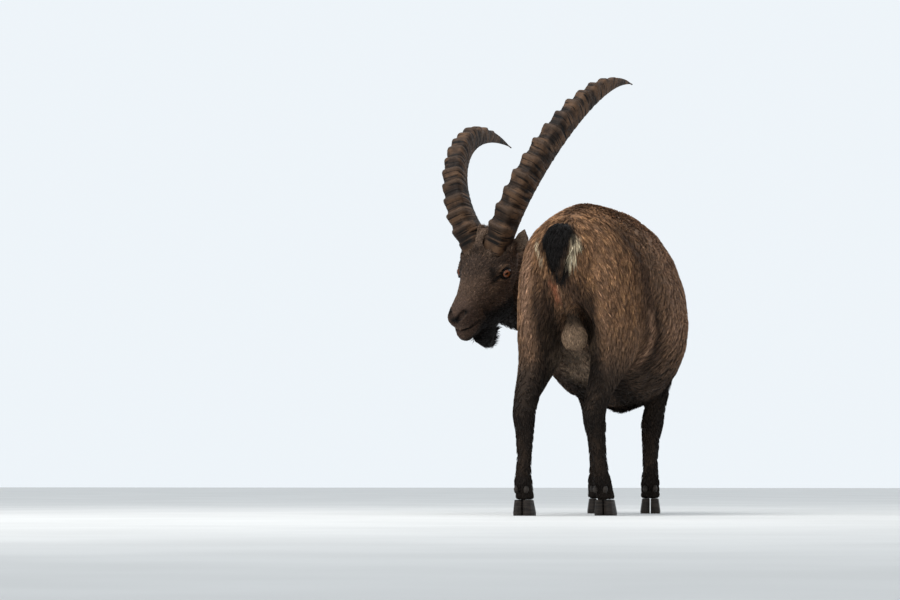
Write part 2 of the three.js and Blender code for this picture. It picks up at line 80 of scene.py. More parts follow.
head_turned = Matrix.Rotation(HEAD_TURN, 3, "Z") @ Matrix.Rotation(HEAD_NOD, 3, "Y")
head_axes = head_turned @ Matrix.Rotation(HEAD_ROLL, 3, "X")
head_origin = (middle_of("eye_left") + middle_of("eye_right")) / 2 - head_axes @ EYES_MIDDLE
body_origin = head_origin - HEAD_PLACE
HEAD_AXES = np.array(head_axes)
print("root of the tail stands over", [round(v, 4) for v in body_origin])


def in_head(points):
    """Places in the head's own millimetres."""
    return (points - np.array(head_origin)) @ HEAD_AXES / (HEAD_SIZE * MM)


def from_head(points):
    return np.array(head_origin) + np.asarray(points, float) @ HEAD_AXES.T * (HEAD_SIZE * MM)


def to_left(q):
    """Places of the head mirrored to its left side, and the factors that mirror them."""
    mirror = np.ones_like(q)
    mirror[:, 1] = np.where(q[:, 1] < 0, -1, 1)
    return q * mirror, mirror


# %% The body's own places
BEND_START = 360  # millimetres ahead of the tail, where the back starts to bend to the left
BEND_RATE = 0.0004


def in_body(points):
    """How far left of the back's line, ahead of the tail and above the floor, in millimetres."""
    local = (points - np.array(body_origin)) / MM
    ahead = -local[:, 1]
    bend = BEND_RATE * np.maximum(0, ahead - BEND_START) ** 2
    return local[:, 0] - bend, ahead, local[:, 2]


def ramp(value, low, high):
    """0 below low, 1 above high, and a soft step between them."""
    share = np.clip((value - low) / (high - low), 0, 1)
    return share * share * (3 - 2 * share)


def hill(*distances):
    """1 in the middle of a spot and fading to 0 round it; each distance is a share of its size."""
    return np.exp(-sum(d * d for d in distances))


def column(values):
    return values[:, None]


def unit(vectors):
    return vectors / np.maximum(np.linalg.norm(vectors, axis=-1, keepdims=True), 1e-9)


def laid_flat(vectors, normals):
    """Vectors turned to lie at right angles to the normals, with length 1."""
    return unit(vectors - normals * (vectors * normals).sum(axis=-1, keepdims=True))


print("the back bends to the left from", BEND_START, "mm ahead of the tail")

# %% [markdown]
# ## Camera and lights
#
# The picture was taken from ten metres behind the animal with a long lens, from low down. The studio
# has a pale floor, a pale wall of light all round, one large soft lamp overhead and a weaker one beside
# the camera.

# %% Camera
def put(name, data):
    """A new object in the scene."""
    made = bpy.data.objects.new(name, data)
    bpy.context.scene.collection.objects.link(made)
    return made


LOOK = Vector((0.3256, -0.9455, 0))
PICTURE_RIGHT = Vector((-0.9455, -0.3256, 0))
DISTANCE = 10.0
CAMERA_SIDE = -0.3126
CAMERA_HEIGHT = 0.100
AIM_RISE = 0.487  # how much higher than the camera the middle of the picture is at the animal
LENS = 147.04
FILM_WIDTH = 36

camera_data = bpy.data.cameras.new("camera")
camera_data.lens = LENS
camera_data.sensor_width = FILM_WIDTH
camera = put("camera", camera_data)
side_place = Vector((body_origin.x, body_origin.y, CAMERA_HEIGHT)) + PICTURE_RIGHT * CAMERA_SIDE
camera.location = side_place - LOOK * DISTANCE
sight = LOOK * DISTANCE + Vector((0, 0, AIM_RISE))
camera.rotation_euler = sight.to_track_quat("-Z", "Y").to_euler()
bpy.context.scene.camera = camera
print("camera at", [round(v, 3) for v in camera.location])

# %% Soft studio light
OVERHEAD_POWER = 70
SIDE_POWER = 46
WALL_COLOUR = (0.90, 0.955, 1.0, 1)
WALL_LIGHT = 0.95


def soft_lamp(name, place, aim, size, power, colour):
    lamp_data = bpy.data.lights.new(name, "AREA")
    lamp_data.shape = "DISK"
    lamp_data.size = size
    lamp_data.energy = power
    lamp_data.color = colour
    lamp = put(name, lamp_data)
    lamp.location = place
    lamp.rotation_euler = (Vector(aim) - Vector(place)).to_track_quat("-Z", "Y").to_euler()
    print(name, "of", power, "watts")


soft_lamp("overhead_lamp", (0.6, 1.2, 3.4), (0, 0, 0.6), 2.6, OVERHEAD_POWER, (1, 0.985, 0.96))
soft_lamp("camera_lamp", (1.4, 5.0, 2.2), (0, 0.2, 0.6), 2.4, SIDE_POWER, (1, 0.99, 0.975))

world = bpy.data.worlds.new("studio")
bpy.context.scene.world = world
world.use_nodes = True
wall = world.node_tree.nodes["Background"]
wall.inputs["Color"].default_value = WALL_COLOUR
wall.inputs["Strength"].default_value = WALL_LIGHT
bpy.context.scene.view_settings.view_transform = "Standard"

# %% [markdown]
# ## Small helpers
#
# An operator works on all that is selected, so each one here starts from an empty selection. A material
# starts as one shader, and its nodes are added by name.

# %% Helpers for operators and meshes
WELD = 0.00001


def only(*pieces):
    """Selects these pieces and nothing else, and makes the last one active."""
    bpy.ops.object.select_all(action="DESELECT")
    for piece in pieces:
        piece.select_set(True)
    bpy.context.view_layer.objects.active = pieces[-1]


def start_edit(piece, chosen=None):
    """Edit mode on one piece, with the chosen points selected, or all of them."""
    only(piece)
    bpy.ops.object.mode_set(mode="EDIT")
    bpy.ops.mesh.select_all(action="SELECT" if chosen is None else "DESELECT")
    if chosen is not None:
        bpy.ops.object.mode_set(mode="OBJECT")
        piece.data.vertices.foreach_set("select", chosen)
        bpy.ops.object.mode_set(mode="EDIT")
    bpy.ops.mesh.select_mode(type="VERT")


def end_edit():
    bpy.ops.object.mode_set(mode="OBJECT")


def add_piece(operator, name, **settings):
    """A new primitive with a name, and nothing else selected."""
    bpy.ops.object.select_all(action="DESELECT")
    operator(**settings)
    made = bpy.context.object
    made.name = name
    made.data.name = name
    return made


def weld(piece, distance=WELD):
    start_edit(piece)
    bpy.ops.mesh.remove_doubles(threshold=distance)
    end_edit()


def apply_modifier(piece, kind, **settings):
    only(piece)
    modifier = piece.modifiers.new(kind.title(), kind)
    for name, value in settings.items():
        setattr(modifier, name, value)
    bpy.ops.object.modifier_apply(modifier=modifier.name)


def read(items, field, width, kind=float):
    """One field of a mesh's points, edges or faces, as a table with that many columns."""
    flat = np.empty(len(items) * width, kind)
    items.foreach_get(field, flat)
    return flat.reshape(-1, width)


def places_of(mesh):
    return read(mesh.vertices, "co", 3)


def normals_of(mesh):
    return read(mesh.vertices, "normal", 3)


def neighbours(mesh):
    return read(mesh.edges, "vertices", 2, int)


def move_to(mesh, places):
    mesh.vertices.foreach_set("co", places.ravel())
    mesh.update()


def copy_of(names, title):
    """One new mesh from copies of measured nodes, which themselves stay as they are."""
    copies = [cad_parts[name].copy() for name in names]
    for copy in copies:
        copy.data = copy.data.copy()
        copy.parent = None
        for key in list(copy.keys()):
            del copy[key]
        bpy.context.scene.collection.objects.link(copy)
    only(*copies)
    if len(copies) > 1:
        bpy.ops.object.join()
    made = bpy.context.object
    made.name = title
    made.data.name = title
    made.data.materials.clear()
    weld(made)
    return made


def paint(mesh, name, colours):
    """Writes one colour for each vertex."""
    layer = mesh.color_attributes.new(name, "FLOAT_COLOR", "POINT")
    four = np.ones((len(colours), 4))
    four[:, :3] = colours
    layer.data.foreach_set("color", four.ravel())


def grade(mesh, name, values):
    """Writes one number for each vertex."""
    layer = mesh.attributes.new(name, "FLOAT", "POINT")
    layer.data.foreach_set("value", np.asarray(values, float))


def finish_piece(piece, slot, material, *nodes):
    piece.data.materials.clear()
    piece.data.materials.append(material)
    piece.data.polygons.foreach_set("use_smooth", [True] * len(piece.data.polygons))
    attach(piece, "root")
    if nodes:
        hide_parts(*nodes)
    piece.data.calc_loop_triangles()
    print(piece.name, len(piece.data.loop_triangles), "triangles")


# %% Helpers for materials
def seen(red, green, blue):
    """A colour as a screen shows it, from 0 to 255, turned into light."""
    shown = np.array([red, green, blue]) / 255
    return np.where(shown <= 0.04045, shown / 12.92, ((shown + 0.055) / 1.055) ** 2.4)


class Recipe:
    """A material with short ways to add and join its nodes."""

    def __init__(self, name, **constants):
        self.material = bpy.data.materials.new(name)
        self.material.use_nodes = True
        self.tree = self.material.node_tree
        self.shader = self.tree.nodes["Principled BSDF"]
        self.finish(**constants)

    def feed(self, value, socket):
        """Joins a node's output to a socket, or writes a number or a colour there."""
        if isinstance(value, bpy.types.NodeSocket):
            self.tree.links.new(value, socket)
        elif isinstance(value, np.ndarray):
            socket.default_value = (*value, 1)
        else:
            socket.default_value = value

    def finish(self, **sockets):
        for name, value in sockets.items():
            self.feed(value, self.shader.inputs[name.replace("_", " ")])

    def node(self, kind, settings=None, **inputs):
        made = self.tree.nodes.new("ShaderNode" + kind)
        for name, value in (settings or {}).items():
            setattr(made, name, value)
        for name, value in inputs.items():
            self.feed(value, made.inputs[name.replace("_", " ")])
        return made

    def math(self, operation, first, second=0.0):
        made = self.node("Math", {"operation": operation})
        self.feed(first, made.inputs[0])
        self.feed(second, made.inputs[1])
        return made.outputs[0]

    def stretch(self, value, low, high, to_low=0.0, to_high=1.0):
        """A value from low to high turned softly into one from to_low to to_high."""
        made = self.node(
            "MapRange", {"interpolation_type": "SMOOTHSTEP"},
            Value=value, From_Min=low, From_Max=high, To_Min=to_low, To_Max=to_high,
        )
        return made.outputs["Result"]

    def mix(self, share, first, second, blend="MIX"):
        made = self.node("Mix", {"data_type": "RGBA", "blend_type": blend})
        for place, value in ((0, share), (6, first), (7, second)):
            self.feed(value, made.inputs[place])
        return made.outputs[2]

    def shaded(self, colour, factor):
        """A colour made lighter or darker."""
        grey = self.node("CombineColor", Red=factor, Green=factor, Blue=factor)
        return self.mix(1.0, colour, grey.outputs[0], "MULTIPLY")

    def noise(self, scale, detail=3.0, squeeze=(1, 1, 1), vector=None):
        """Soft noise on the piece's own places, drawn out along an axis where squeeze is small."""
        if vector is None:
            vector = self.node("TexCoord").outputs["Object"]
        placed = self.node("Mapping", Vector=vector, Scale=squeeze).outputs["Vector"]
        return self.node("TexNoise", Vector=placed, Scale=scale, Detail=detail).outputs["Fac"]

    def bump(self, height, strength, distance):
        made = self.node("Bump", Height=height, Strength=strength, Distance=distance)
        self.finish(Normal=made.outputs["Normal"])

    def attribute(self, name, output="Fac"):
        return self.node("Attribute", {"attribute_name": name}).outputs[output]


# %% [markdown]
# ## The skin: one closed surface
#
# On the real animal one hide runs over trunk, neck, head and legs with no seam. The measured model has
# these as separate solids. They could be bridged edge by edge, but a voxel remesh does it for all of
# them at once: the copies are swelled by a hair's breadth until they overlap, then the remesh wraps
# them in one closed surface.

# %% Join the flesh
LEGS = ["hind_leg_left", "hind_leg_right", "fore_leg_left", "fore_leg_right"]
FLESH = ["trunk", "neck", "head", "ear_left", "ear_right", *LEGS, "scrotum", "tail", "beard"]
EYES = ["eye_left", "eye_right"]
SWELL = 0.0006
VOXEL = 0.0036
SOCKET_FILLS = ((-62, 38, 44), (-62, -38, 44))  # inside the head, where the horns are rooted
SOCKET_RADIUS = 0.036

flesh = copy_of([*FLESH, *EYES], "skin")
for place in SOCKET_FILLS:
    ball = {"subdivisions": 3, "radius": SOCKET_RADIUS, "location": from_head(place)}
    only(add_piece(bpy.ops.mesh.primitive_ico_sphere_add, "fill", **ball), flesh)
    bpy.ops.object.join()
apply_modifier(flesh, "DISPLACE", strength=SWELL, mid_level=0)
solid_shape = flesh.data.copy()
apply_modifier(flesh, "REMESH", mode="VOXEL", voxel_size=VOXEL)
print("remeshed flesh:", len(flesh.data.vertices), "points")


# %% Keep the outer surface
def islands(mesh):
    """A number for each vertex, the same for all that hang together."""
    label = np.arange(len(mesh.vertices))
    ends = neighbours(mesh)
    while True:
        low = np.minimum(label[ends[:, 0]], label[ends[:, 1]])
        before = label.copy()
        np.minimum.at(label, ends[:, 0], low)
        np.minimum.at(label, ends[:, 1], low)
        label = label[label]
        if np.array_equal(before, label):
            return label


label = islands(flesh.data)
scraps = label != np.bincount(label).argmax()
start_edit(flesh, scraps)
bpy.ops.mesh.delete(type="VERT")
end_edit()
print("inner scraps left out:", int(scraps.sum()), "points")

# %% [markdown]
# ## Smooth the facets away
#
# The measured solids are made of flat facets, large on the barrel and small on the ears. Each part is
# smoothed as much as its facets need, through a vertex group. Smoothing also makes a round form
# thinner, so afterwards the surface is pushed back to a set depth under the measured one. That depth is
# the thickness of the coat.

# %% Which part each point belongs to
REACH = 0.05
BLEND = 0.012
REGIONS = {
    "trunk": ["trunk"],
    "neck": ["neck"],
    "head": ["head", *EYES],
    "ear": ["ear_left", "ear_right"],
    "hind": LEGS[:2],
    "fore": LEGS[2:],
    "scrotum": ["scrotum"],
    "tail": ["tail"],
    "beard": ["beard"],
}
depsgraph = bpy.context.evaluated_depsgraph_get()
searches = {n: BVHTree.FromObject(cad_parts[n], depsgraph) for n in [*FLESH, *EYES]}
print("the skin's regions:", ", ".join(REGIONS))


def shares_of(points):
    """How much each region counts at each point, in a table with one column for each region."""
    distance = np.full((len(points), len(REGIONS)), 1.0)
    for column, names in enumerate(REGIONS.values()):
        for name in names:
            low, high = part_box(name)
            near = np.all((points > np.array(low) - REACH) & (points < np.array(high) + REACH), axis=1)
            for i in np.flatnonzero(near):
                found = searches[name].find_nearest(points[i])[3]
                distance[i, column] = min(distance[i, column], found)
    nearest = distance.min(axis=1, keepdims=True)
    weight = np.exp(-(distance - nearest) / BLEND)
    return weight / weight.sum(axis=1, keepdims=True)


class Parts:
    """Named shares of the body's parts at a set of points."""

    def __init__(self, table, points):
        for column, name in enumerate(REGIONS):
            setattr(self, name, table[:, column])
        height = points[:, 2]
        leg = self.hind + self.fore
        upper = ramp(height, 0.27, 0.45)
        self.thigh = leg * upper
        self.foot = leg * (1 - ramp(height, 0.06, 0.11))
        self.cannon = leg - self.thigh - self.foot
        x = in_head(points)[:, 0]
        self.muzzle = self.head * ramp(x, 60, 160)
        self.face = self.head - self.muzzle


def group(piece, name, weights):
    made = piece.vertex_groups.new(name=name)
    steps = np.round(np.clip(weights, 0, 1) * 10).astype(int)
    for step in range(1, 11):
        made.add(np.flatnonzero(steps == step).tolist(), step / 10, "REPLACE")


# %% Smooth and thin out
BODY_SMOOTHING = 110
SMALL_SMOOTHING = 10
KEPT_SHARE = 0.34  # of the faces, after thinning out the body's

points = places_of(flesh.data)
parts = Parts(shares_of(points), points)
small = parts.head + parts.ear + parts.beard + parts.scrotum + parts.cannon + parts.foot
group(flesh, "broad", 1 - np.clip(small, 0, 1) * 0.93)
group(flesh, "fine", 1 - parts.ear * 0.7)
apply_modifier(flesh, "SMOOTH", factor=0.5, iterations=BODY_SMOOTHING, vertex_group="broad")
apply_modifier(flesh, "SMOOTH", factor=0.5, iterations=SMALL_SMOOTHING, vertex_group="fine")
group(flesh, "thin", 1 - parts.head - parts.ear - 0.6 * parts.foot)
apply_modifier(flesh, "DECIMATE", ratio=KEPT_SHARE, vertex_group="thin")
print("thinned skin:", len(flesh.data.vertices), "points")

# %% Coat of each part
# Depth is how far the skin lies under the coat's tips, in millimetres. Length and width are a tuft's,
# and many says how close they grow.
COAT_KEYS = ("depth", "length", "width", "many")
COAT = {
    "trunk": (7, 23, 2.5, 1.0),
    "neck": (8, 24, 2.5, 0.9),
    "thigh": (6, 20, 2.4, 1.2),
    "cannon": (3, 12, 2.0, 2.0),
    "foot": (2, 10, 1.7, 2.6),
    "face": (2.2, 9, 1.4, 3.8),
    "muzzle": (1.0, 5, 1.0, 5.0),
    "ear": (1.0, 11, 1.4, 3.6),
    "scrotum": (3, 10, 2.0, 2.4),
    "tail": (7, 46, 2.6, 3.2),
    "beard": (8, 30, 2.0, 5.0),
}


def coat_value(parts, key):
    """One measure of the coat at each point, mixed from its regions'."""
    place = COAT_KEYS.index(key)
    return sum(getattr(parts, name) * values[place] for name, values in COAT.items())


def evened(values, ends, rounds):
    """Each value drawn towards the mean of its neighbours', again and again."""
    table = values.reshape(len(values), -1)
    count = np.maximum(np.bincount(ends.ravel(), minlength=len(table)), 1)
    for _ in range(rounds):
        total = np.empty_like(table)
        for k in range(table.shape[1]):
            there = np.bincount(ends[:, 0], table[ends[:, 1], k], len(table))
            back = np.bincount(ends[:, 1], table[ends[:, 0], k], len(table))
            total[:, k] = there + back
        table = (table + total / column(count)) / 2
    return table.reshape(values.shape)


# %% Sink the skin under the coat
DEPTH_ROUNDS = 30
DEEPEST = 0.02
HIGHEST = 0.01
FOOT_HEIGHT = 0.05
FOOT_BOTTOM = 0.036  # the skin of the feet ends inside the claws

solid_search = BVHTree.FromPolygons(
    [v.co for v in solid_shape.vertices], [p.vertices for p in solid_shape.polygons]
)


def depth_now(points):
    """How deep each point lies under the measured surface."""
    depth = np.empty(len(points))
    for i, p in enumerate(points):
        where, normal, _, distance = solid_search.find_nearest(p)
        inside = (where - Vector(p)).dot(normal) > 0
        depth[i] = distance if inside else -distance
    return depth


points = places_of(flesh.data)
parts = Parts(shares_of(points), points)
ends = neighbours(flesh.data)
wanted = coat_value(parts, "depth") * MM
found = evened(np.clip(depth_now(points), -HIGHEST, DEEPEST), ends, DEPTH_ROUNDS)
push = evened(found - wanted - SWELL, ends, 4)
moved = points + normals_of(flesh.data) * column(push)
in_foot = points[:, 2] < FOOT_HEIGHT
moved[in_foot, 2] = np.maximum(moved[in_foot, 2], FOOT_BOTTOM)
move_to(flesh.data, moved)
apply_modifier(flesh, "SMOOTH", factor=0.5, iterations=3)
print("skin pushed by", round(push.min() / MM, 1), "to", round(push.max() / MM, 1), "mm")

# %% [markdown]
# ## The face
#
# The lids, the nostrils, the line of the mouth and the folds between them are too small for the remesh.
# The head's faces are divided once more, and again round the eyes and the nose, and then points are
# moved by simple forms in the head's own directions. A form for one side works for both, because it
# reads how far a point is from the middle.

# %% Finer faces on the head
FACE_BOX = ((-40, -100, -130), (220, 100, 90))  # its low and its high corner
EYE_SPOT = (1, 65, 1, 34)  # place and radius
NOSTRIL_SPOT = (178, 16, -16, 34)
LIP_SPOT = (160, 12, -56, 30)


def divide(piece, chosen):
    """Divides the faces whose points are all chosen."""
    start_edit(piece, chosen)
    bpy.ops.mesh.subdivide(number_cuts=1)
    end_edit()


def on_head(points):
    q = in_head(points)
    return np.all((q > FACE_BOX[0]) & (q < FACE_BOX[1]), axis=1)


def near_details(points):
    q = to_left(in_head(points))[0]
    spots = [np.array(spot) for spot in (EYE_SPOT, NOSTRIL_SPOT, LIP_SPOT)]
    return np.any([np.linalg.norm(q - spot[:3], axis=1) < spot[3] for spot in spots], axis=0)


divide(flesh, on_head(places_of(flesh.data)))
divide(flesh, near_details(places_of(flesh.data)))
group(flesh, "face", on_head(places_of(flesh.data)) * 1.0)
apply_modifier(flesh, "SMOOTH", factor=0.5, iterations=7, vertex_group="face")
print("skin with a fine face:", len(flesh.data.vertices), "points")

# %% Eye sockets and lids
EYE_PLACE = np.array([1.0, 65.0, 1.0])
EYE_RADIUS = 16.2
EYE_OUT = unit(np.array([0.67, 0.66, 0.34]))  # where the eye looks, for the left one
LID_THICKNESS = 1.9
OPENING_LENGTH = 14.6
OPENING_ABOVE = 10.2
OPENING_BELOW = 9.2
SQUARENESS = 1.8  # of the opening: 2 would be an oval
CORNER_DROP = 0.20  # how far the front corner of the lids lies lower, as a slope
SOCKET_DEPTH = 3.0

level = laid_flat(np.cross(EYE_OUT, [-CORNER_DROP / 2, 0, 1]), EYE_OUT)
EYE_FRONT = laid_flat(level - np.array([0, 0, CORNER_DROP]), EYE_OUT)
EYE_UP = np.cross(EYE_FRONT, EYE_OUT)


def eye_view(q):
    """Seen straight into the eye: up and out from its middle, and the lids' outline as a number.

    The number is under 1 in the opening between the lids and over 1 outside it."""
    from_eye = q - EYE_PLACE
    ahead, up, out = from_eye @ EYE_FRONT, from_eye @ EYE_UP, from_eye @ EYE_OUT
    along = np.abs(ahead) / OPENING_LENGTH
    rise = np.abs(up) / np.where(up > 0, OPENING_ABOVE, OPENING_BELOW)
    return up, out, (along**SQUARENESS + rise**SQUARENESS) ** (1 / SQUARENESS)


def with_lids(q):
    """Places moved to the lids' outer face, or in the opening to behind the eyeball's front."""
    up, out, opening = eye_view(q)
    from_eye = q - EYE_PLACE
    radius = np.linalg.norm(from_eye, axis=1)
    fold = hill((opening - 1.55) / 0.13) * ramp(up, -2, 4) + 0.6 * hill((opening - 1.6) / 0.12)
    rim = 0.9 * hill((opening - 1.12) / 0.12)
    lid = EYE_RADIUS + LID_THICKNESS + rim - fold
    inside = EYE_RADIUS - SOCKET_DEPTH
    aim = inside + (lid - inside) * ramp(opening, 0.94, 1.06)
    hold = (1 - ramp(opening, 1.4, 2.3)) * ramp(out, 1, 7) * (1 - ramp(radius, 29, 42))
    return q + from_eye * column((aim - radius) * hold / np.maximum(radius, 0.01))


print("the left eye looks along", EYE_OUT.round(2))

# %% Nose, mouth and cheeks
NOSTRIL = ((196, 5, -21), (193, 12, -15), (186, 18, -10), (176, 24, -6))
NOSE_WING = ((192, 16, -26), (180, 29, -15), (168, 27, -2))
NOSE_GROOVE = ((200, 0, -24), (198, 0, -50))
MOUTH = ((197, 0, -56), (188, 9, -57), (171, 22, -59), (151, 27, -62), (131, 31, -65))
CHEEK_FOLD = ((100, 34, -46), (122, 33, -56))
TEAR = ((20, 64, 8), (30, 58, 7), (46, 51, 0))
TEAR_PIT = ((56, 46, -2), (56, 46, -3))
CHEEKBONE = ((16, 60, -24), (50, 50, -28), (84, 40, -26))
BROW_BONE = ((-16, 66, 20), (6, 64, 27), (26, 54, 26))
FACE_FORMS = (  # millimetres pushed out, width, and the path that the form follows
    (-9.0, 6.0, NOSTRIL),
    (2.2, 4.5, NOSE_WING),
    (-1.1, 2.2, NOSE_GROOVE),
    (-3.6, 2.2, MOUTH),
    (-1.2, 6.0, CHEEK_FOLD),
    (-0.9, 1.7, TEAR),
    (-2.2, 15.0, TEAR_PIT),
    (2.0, 8.0, CHEEKBONE),
    (2.6, 8.0, BROW_BONE),
)


def to_segment(q, start, end):
    """Distance from a straight line between two places, and how far along it, from 0 to 1."""
    start = np.array(start, float)
    along = np.array(end, float) - start
    share = np.clip((q - start) @ along / along.dot(along), 0, 1)
    return np.linalg.norm(q - start - column(share) * along, axis=1), share


def to_path(q, *stops):
    return np.min([to_segment(q, a, b)[0] for a, b in zip(stops, stops[1:])], axis=0)


def near_path(q, path, size):
    """1 on a path of straight lines and fading to 0 round it."""
    return hill(to_path(q, *path) / size)


def face_push(q):
    """How far each point of the face is pushed out, in millimetres."""
    lips = 1.3 * hill((to_path(q, *MOUTH) - 5) / 3.2) * ramp(q[:, 0], 120, 160)
    return lips + sum(rise * near_path(q, path, size) for rise, size, path in FACE_FORMS)


points = places_of(flesh.data)
q = in_head(points)
on_face = (np.abs(q[:, 1]) < 110) & (q[:, 2] > -120) & (q[:, 0] < 225)
head_share = ramp(q[:, 0], -60, -20) * on_face
one_side, mirror = to_left(q)
one_side = one_side + (with_lids(one_side) - one_side) * column(head_share)
push = face_push(one_side) * head_share * HEAD_SIZE * MM
move_to(flesh.data, from_head(one_side * mirror) + normals_of(flesh.data) * column(push))
print("face: out", round(push.max() / MM, 1), "mm and in", round(-push.min() / MM, 1), "mm")

# %% [markdown]
# ## Markings
#
# Skin and coat share one set of markings, so that nothing shows where the coat parts. They are worked
# out for any point from its place on the body: warm flecks on the rump, a dark band before the thigh,
# near-black lower legs and throat, a black tail between pale fringes. Painted shade is laid in with them
# on the belly, between the thighs, in the crease before the thigh, beside the buttock crease and the
# scrotum and in the hollow before the eye, and painted rim light on the outer edges of the rump.

# %% Colours of the coat
GREY_BROWN = seen(122, 95, 75)
WARM_BROWN = seen(142, 105, 76)
ORANGE_FLECK = seen(186, 140, 98)
DARK_FLECK = seen(66, 49, 38)
FLANK_DARK = seen(78, 59, 47)
# paler flank hair, also used for painted rim light on the rump's outer edges
PALE_FLANK = seen(152, 119, 96)
# painted shade: the underside is darkened to the grey-brown that it shows in shade
SHADED_BELLY = seen(74, 60, 50)
BLACK_BROWN = seen(26, 20, 17)
BLACK = seen(13, 10, 9)
# near-black lower legs, also used for painted shade between the thighs and on the top of the scrotum
LEG_DARK = seen(33, 26, 21)
LEG_STREAK = seen(62, 49, 39)
CREAM = seen(252, 232, 196)
BARE_SKIN = seen(172, 104, 74)
GROIN = seen(136, 116, 98)
SCROTUM = seen(134, 111, 90)
HEAD_BROWN = seen(86, 68, 56)
FOREHEAD = seen(64, 51, 43)
MUZZLE = seen(80, 63, 54)
JAW = seen(19, 14, 12)
EYE_RING = seen(124, 98, 78)
RIM = seen(10, 8, 7)
HORN_HAIR = seen(112, 92, 76)
EAR_BACK = seen(84, 67, 56)
EAR_INSIDE = seen(128, 110, 94)
LIP = seen(112, 93, 80)


WAVES = 14


def ripple(points, size, seed):
    """Smooth random waves, about as long as size, from -1 to 1."""
    waves = np.random.default_rng(seed)
    total = np.zeros(len(points))
    for _ in range(WAVES):
        direction = waves.normal(size=3)
        length = size * waves.uniform(0.7, 1.5)
        direction = direction / np.linalg.norm(direction) * 2 * math.pi / length
        total += np.sin(points @ direction + waves.uniform(0, 2 * math.pi))
    return np.clip(total / math.sqrt(WAVES), -1.6, 1.6) / 1.6


def layered(colours, *layers):
    """Colours with others laid over them, each by its own share at each point."""
    for colour, share in layers:
        colours = colours + (colour - colours) * column(np.clip(share, 0, 1))
    return colours


def blended(*pairs):
    """The sum of several tables, each weighed by its own share at each point."""
    return sum(table * column(share) for share, table in pairs)


print("warmest fleck in light:", ORANGE_FLECK.round(2))

# %% Colours of the body
BAND_HEIGHTS = (400, 473, 541, 622, 718, 771, 830)
BAND_AHEAD = (345, 322, 262, 222, 196, 148, 120)
THIGH_FRONT = ((0, 275, 560), (0, 312, 510), (0, 318, 450), (0, 330, 390))
TAIL_LINE = ((7, -46, 772), (-3, -62, 655))
FRINGE_RIGHT = ((-49, -34, 794), (-34, -60, 706))
FRINGE_LEFT = ((73, -18, 757), (52, -50, 689))
GROIN_CREASE = ((15, -40, 632), (2, 8, 560))
BARE_STRIP = ((24, -38, 632), (20, -7, 587))
SHADE_RIGHT = ((-16, -38, 648), (-44, 8, 548))
SHADE_LEFT = ((52, -28, 650), (62, 0, 548))
BESIDE_SAC = np.array([-18, 30, 492])


def body_colours(points):
    left, ahead, up = in_body(points)
    aside = np.abs(left)
    rump = ramp(up, 440, 600) * (1 - ramp(ahead, 150, 300))
    flank = ramp(ahead, 290, 420) * ramp(up, 440, 520) * (1 - ramp(ahead, 640, 820))
    fleck = ripple(points, 0.011, 5) + 0.6 * ripple(points, 0.03, 6)
    band = hill((ahead - np.interp(up, BAND_HEIGHTS, BAND_AHEAD)) / 52)
    # painted rim light: the rump's outer edges made paler, more on the left side than on the right
    edge = ramp(aside, 70, 105) * (1 - ramp(ahead, -10, 60)) * ramp(up, 440, 520)
    profile = np.stack([0 * left, ahead, up], axis=1)
    # painted shade in the crease along the front of the thigh
    crease = near_path(profile, THIGH_FRONT, 14) * ramp(aside, 60, 100)
    before = near_path(profile + np.array([0, 26, 0]), THIGH_FRONT, 14) * ramp(aside, 60, 100)
    # painted shade between the thighs, on their inner sides
    inner = (1 - ramp(aside, 74, 104)) * (1 - ramp(up, 570, 680)) * ramp(aside, 18, 40)
    groin = (1 - ramp(np.abs(left - 25), 60, 90)) * ramp(ahead, 60, 110) * (1 - ramp(ahead, 250, 330))
    return layered(
        GREY_BROWN,
        (WARM_BROWN, 0.85 * rump),
        (PALE_FLANK, 0.75 * flank),
        (ORANGE_FLECK, ramp(fleck, 0.05, 0.9) * (0.2 + 0.45 * rump)),
        (DARK_FLECK, ramp(-fleck, 0.05, 0.9) * (0.35 + 0.3 * rump)),
        (FLANK_DARK, 0.95 * band * ramp(aside, 70, 120)),
        (FLANK_DARK, 0.6 * hill(left / 22) * ramp(up, 790, 850)),
        # painted rim light on the rump's outer edges
        (PALE_FLANK, edge * np.where(left > 0, 0.85, 0.25)),
        # painted shade in the thigh's crease
        (BLACK_BROWN, 0.75 * crease),
        (PALE_FLANK, 0.9 * before),
        # painted shade on the belly, below about 470 mm
        (SHADED_BELLY, 1 - ramp(up, 380, 470)),
        (BLACK_BROWN, (1 - ramp(up, 470, 600)) * ramp(ahead, 560, 680)),
        # painted shade between the thighs
        (LEG_DARK, 0.9 * inner),
        (GROIN, groin * (1 - ramp(up, 440, 490))),
    )


def rump_details(colours, points):
    """Under and beside the tail: creases, bare skin, the tail's black and its cream fringes."""
    body = np.stack(in_body(points), axis=1)
    from_tail, lower = to_segment(body, *TAIL_LINE)
    reach = 44 - 12 * lower - 10 * lower**2
    sac_shade = hill((np.linalg.norm(body - BESIDE_SAC, axis=1) - 54) / 15)
    return layered(
        colours,
        (SCROTUM, 0.9 * near_path(body, GROIN_CREASE, 11)),
        (BARE_SKIN, near_path(body, BARE_STRIP, 11)),
        (FLANK_DARK, 0.85 * near_path(body, SHADE_RIGHT, 25)),
        (FLANK_DARK, 0.6 * near_path(body, SHADE_LEFT, 25)),
        (BLACK, 1 - ramp(from_tail, reach - 8, reach + 8)),
        (BLACK, 0.85 * sac_shade),
        (CREAM, 1.4 * near_path(body, FRINGE_RIGHT, 9)),
        (CREAM, 0.7 * near_path(body, FRINGE_LEFT, 6)),
    )


print("dark band", BAND_AHEAD[-1], "to", BAND_AHEAD[0], "mm ahead of the tail")


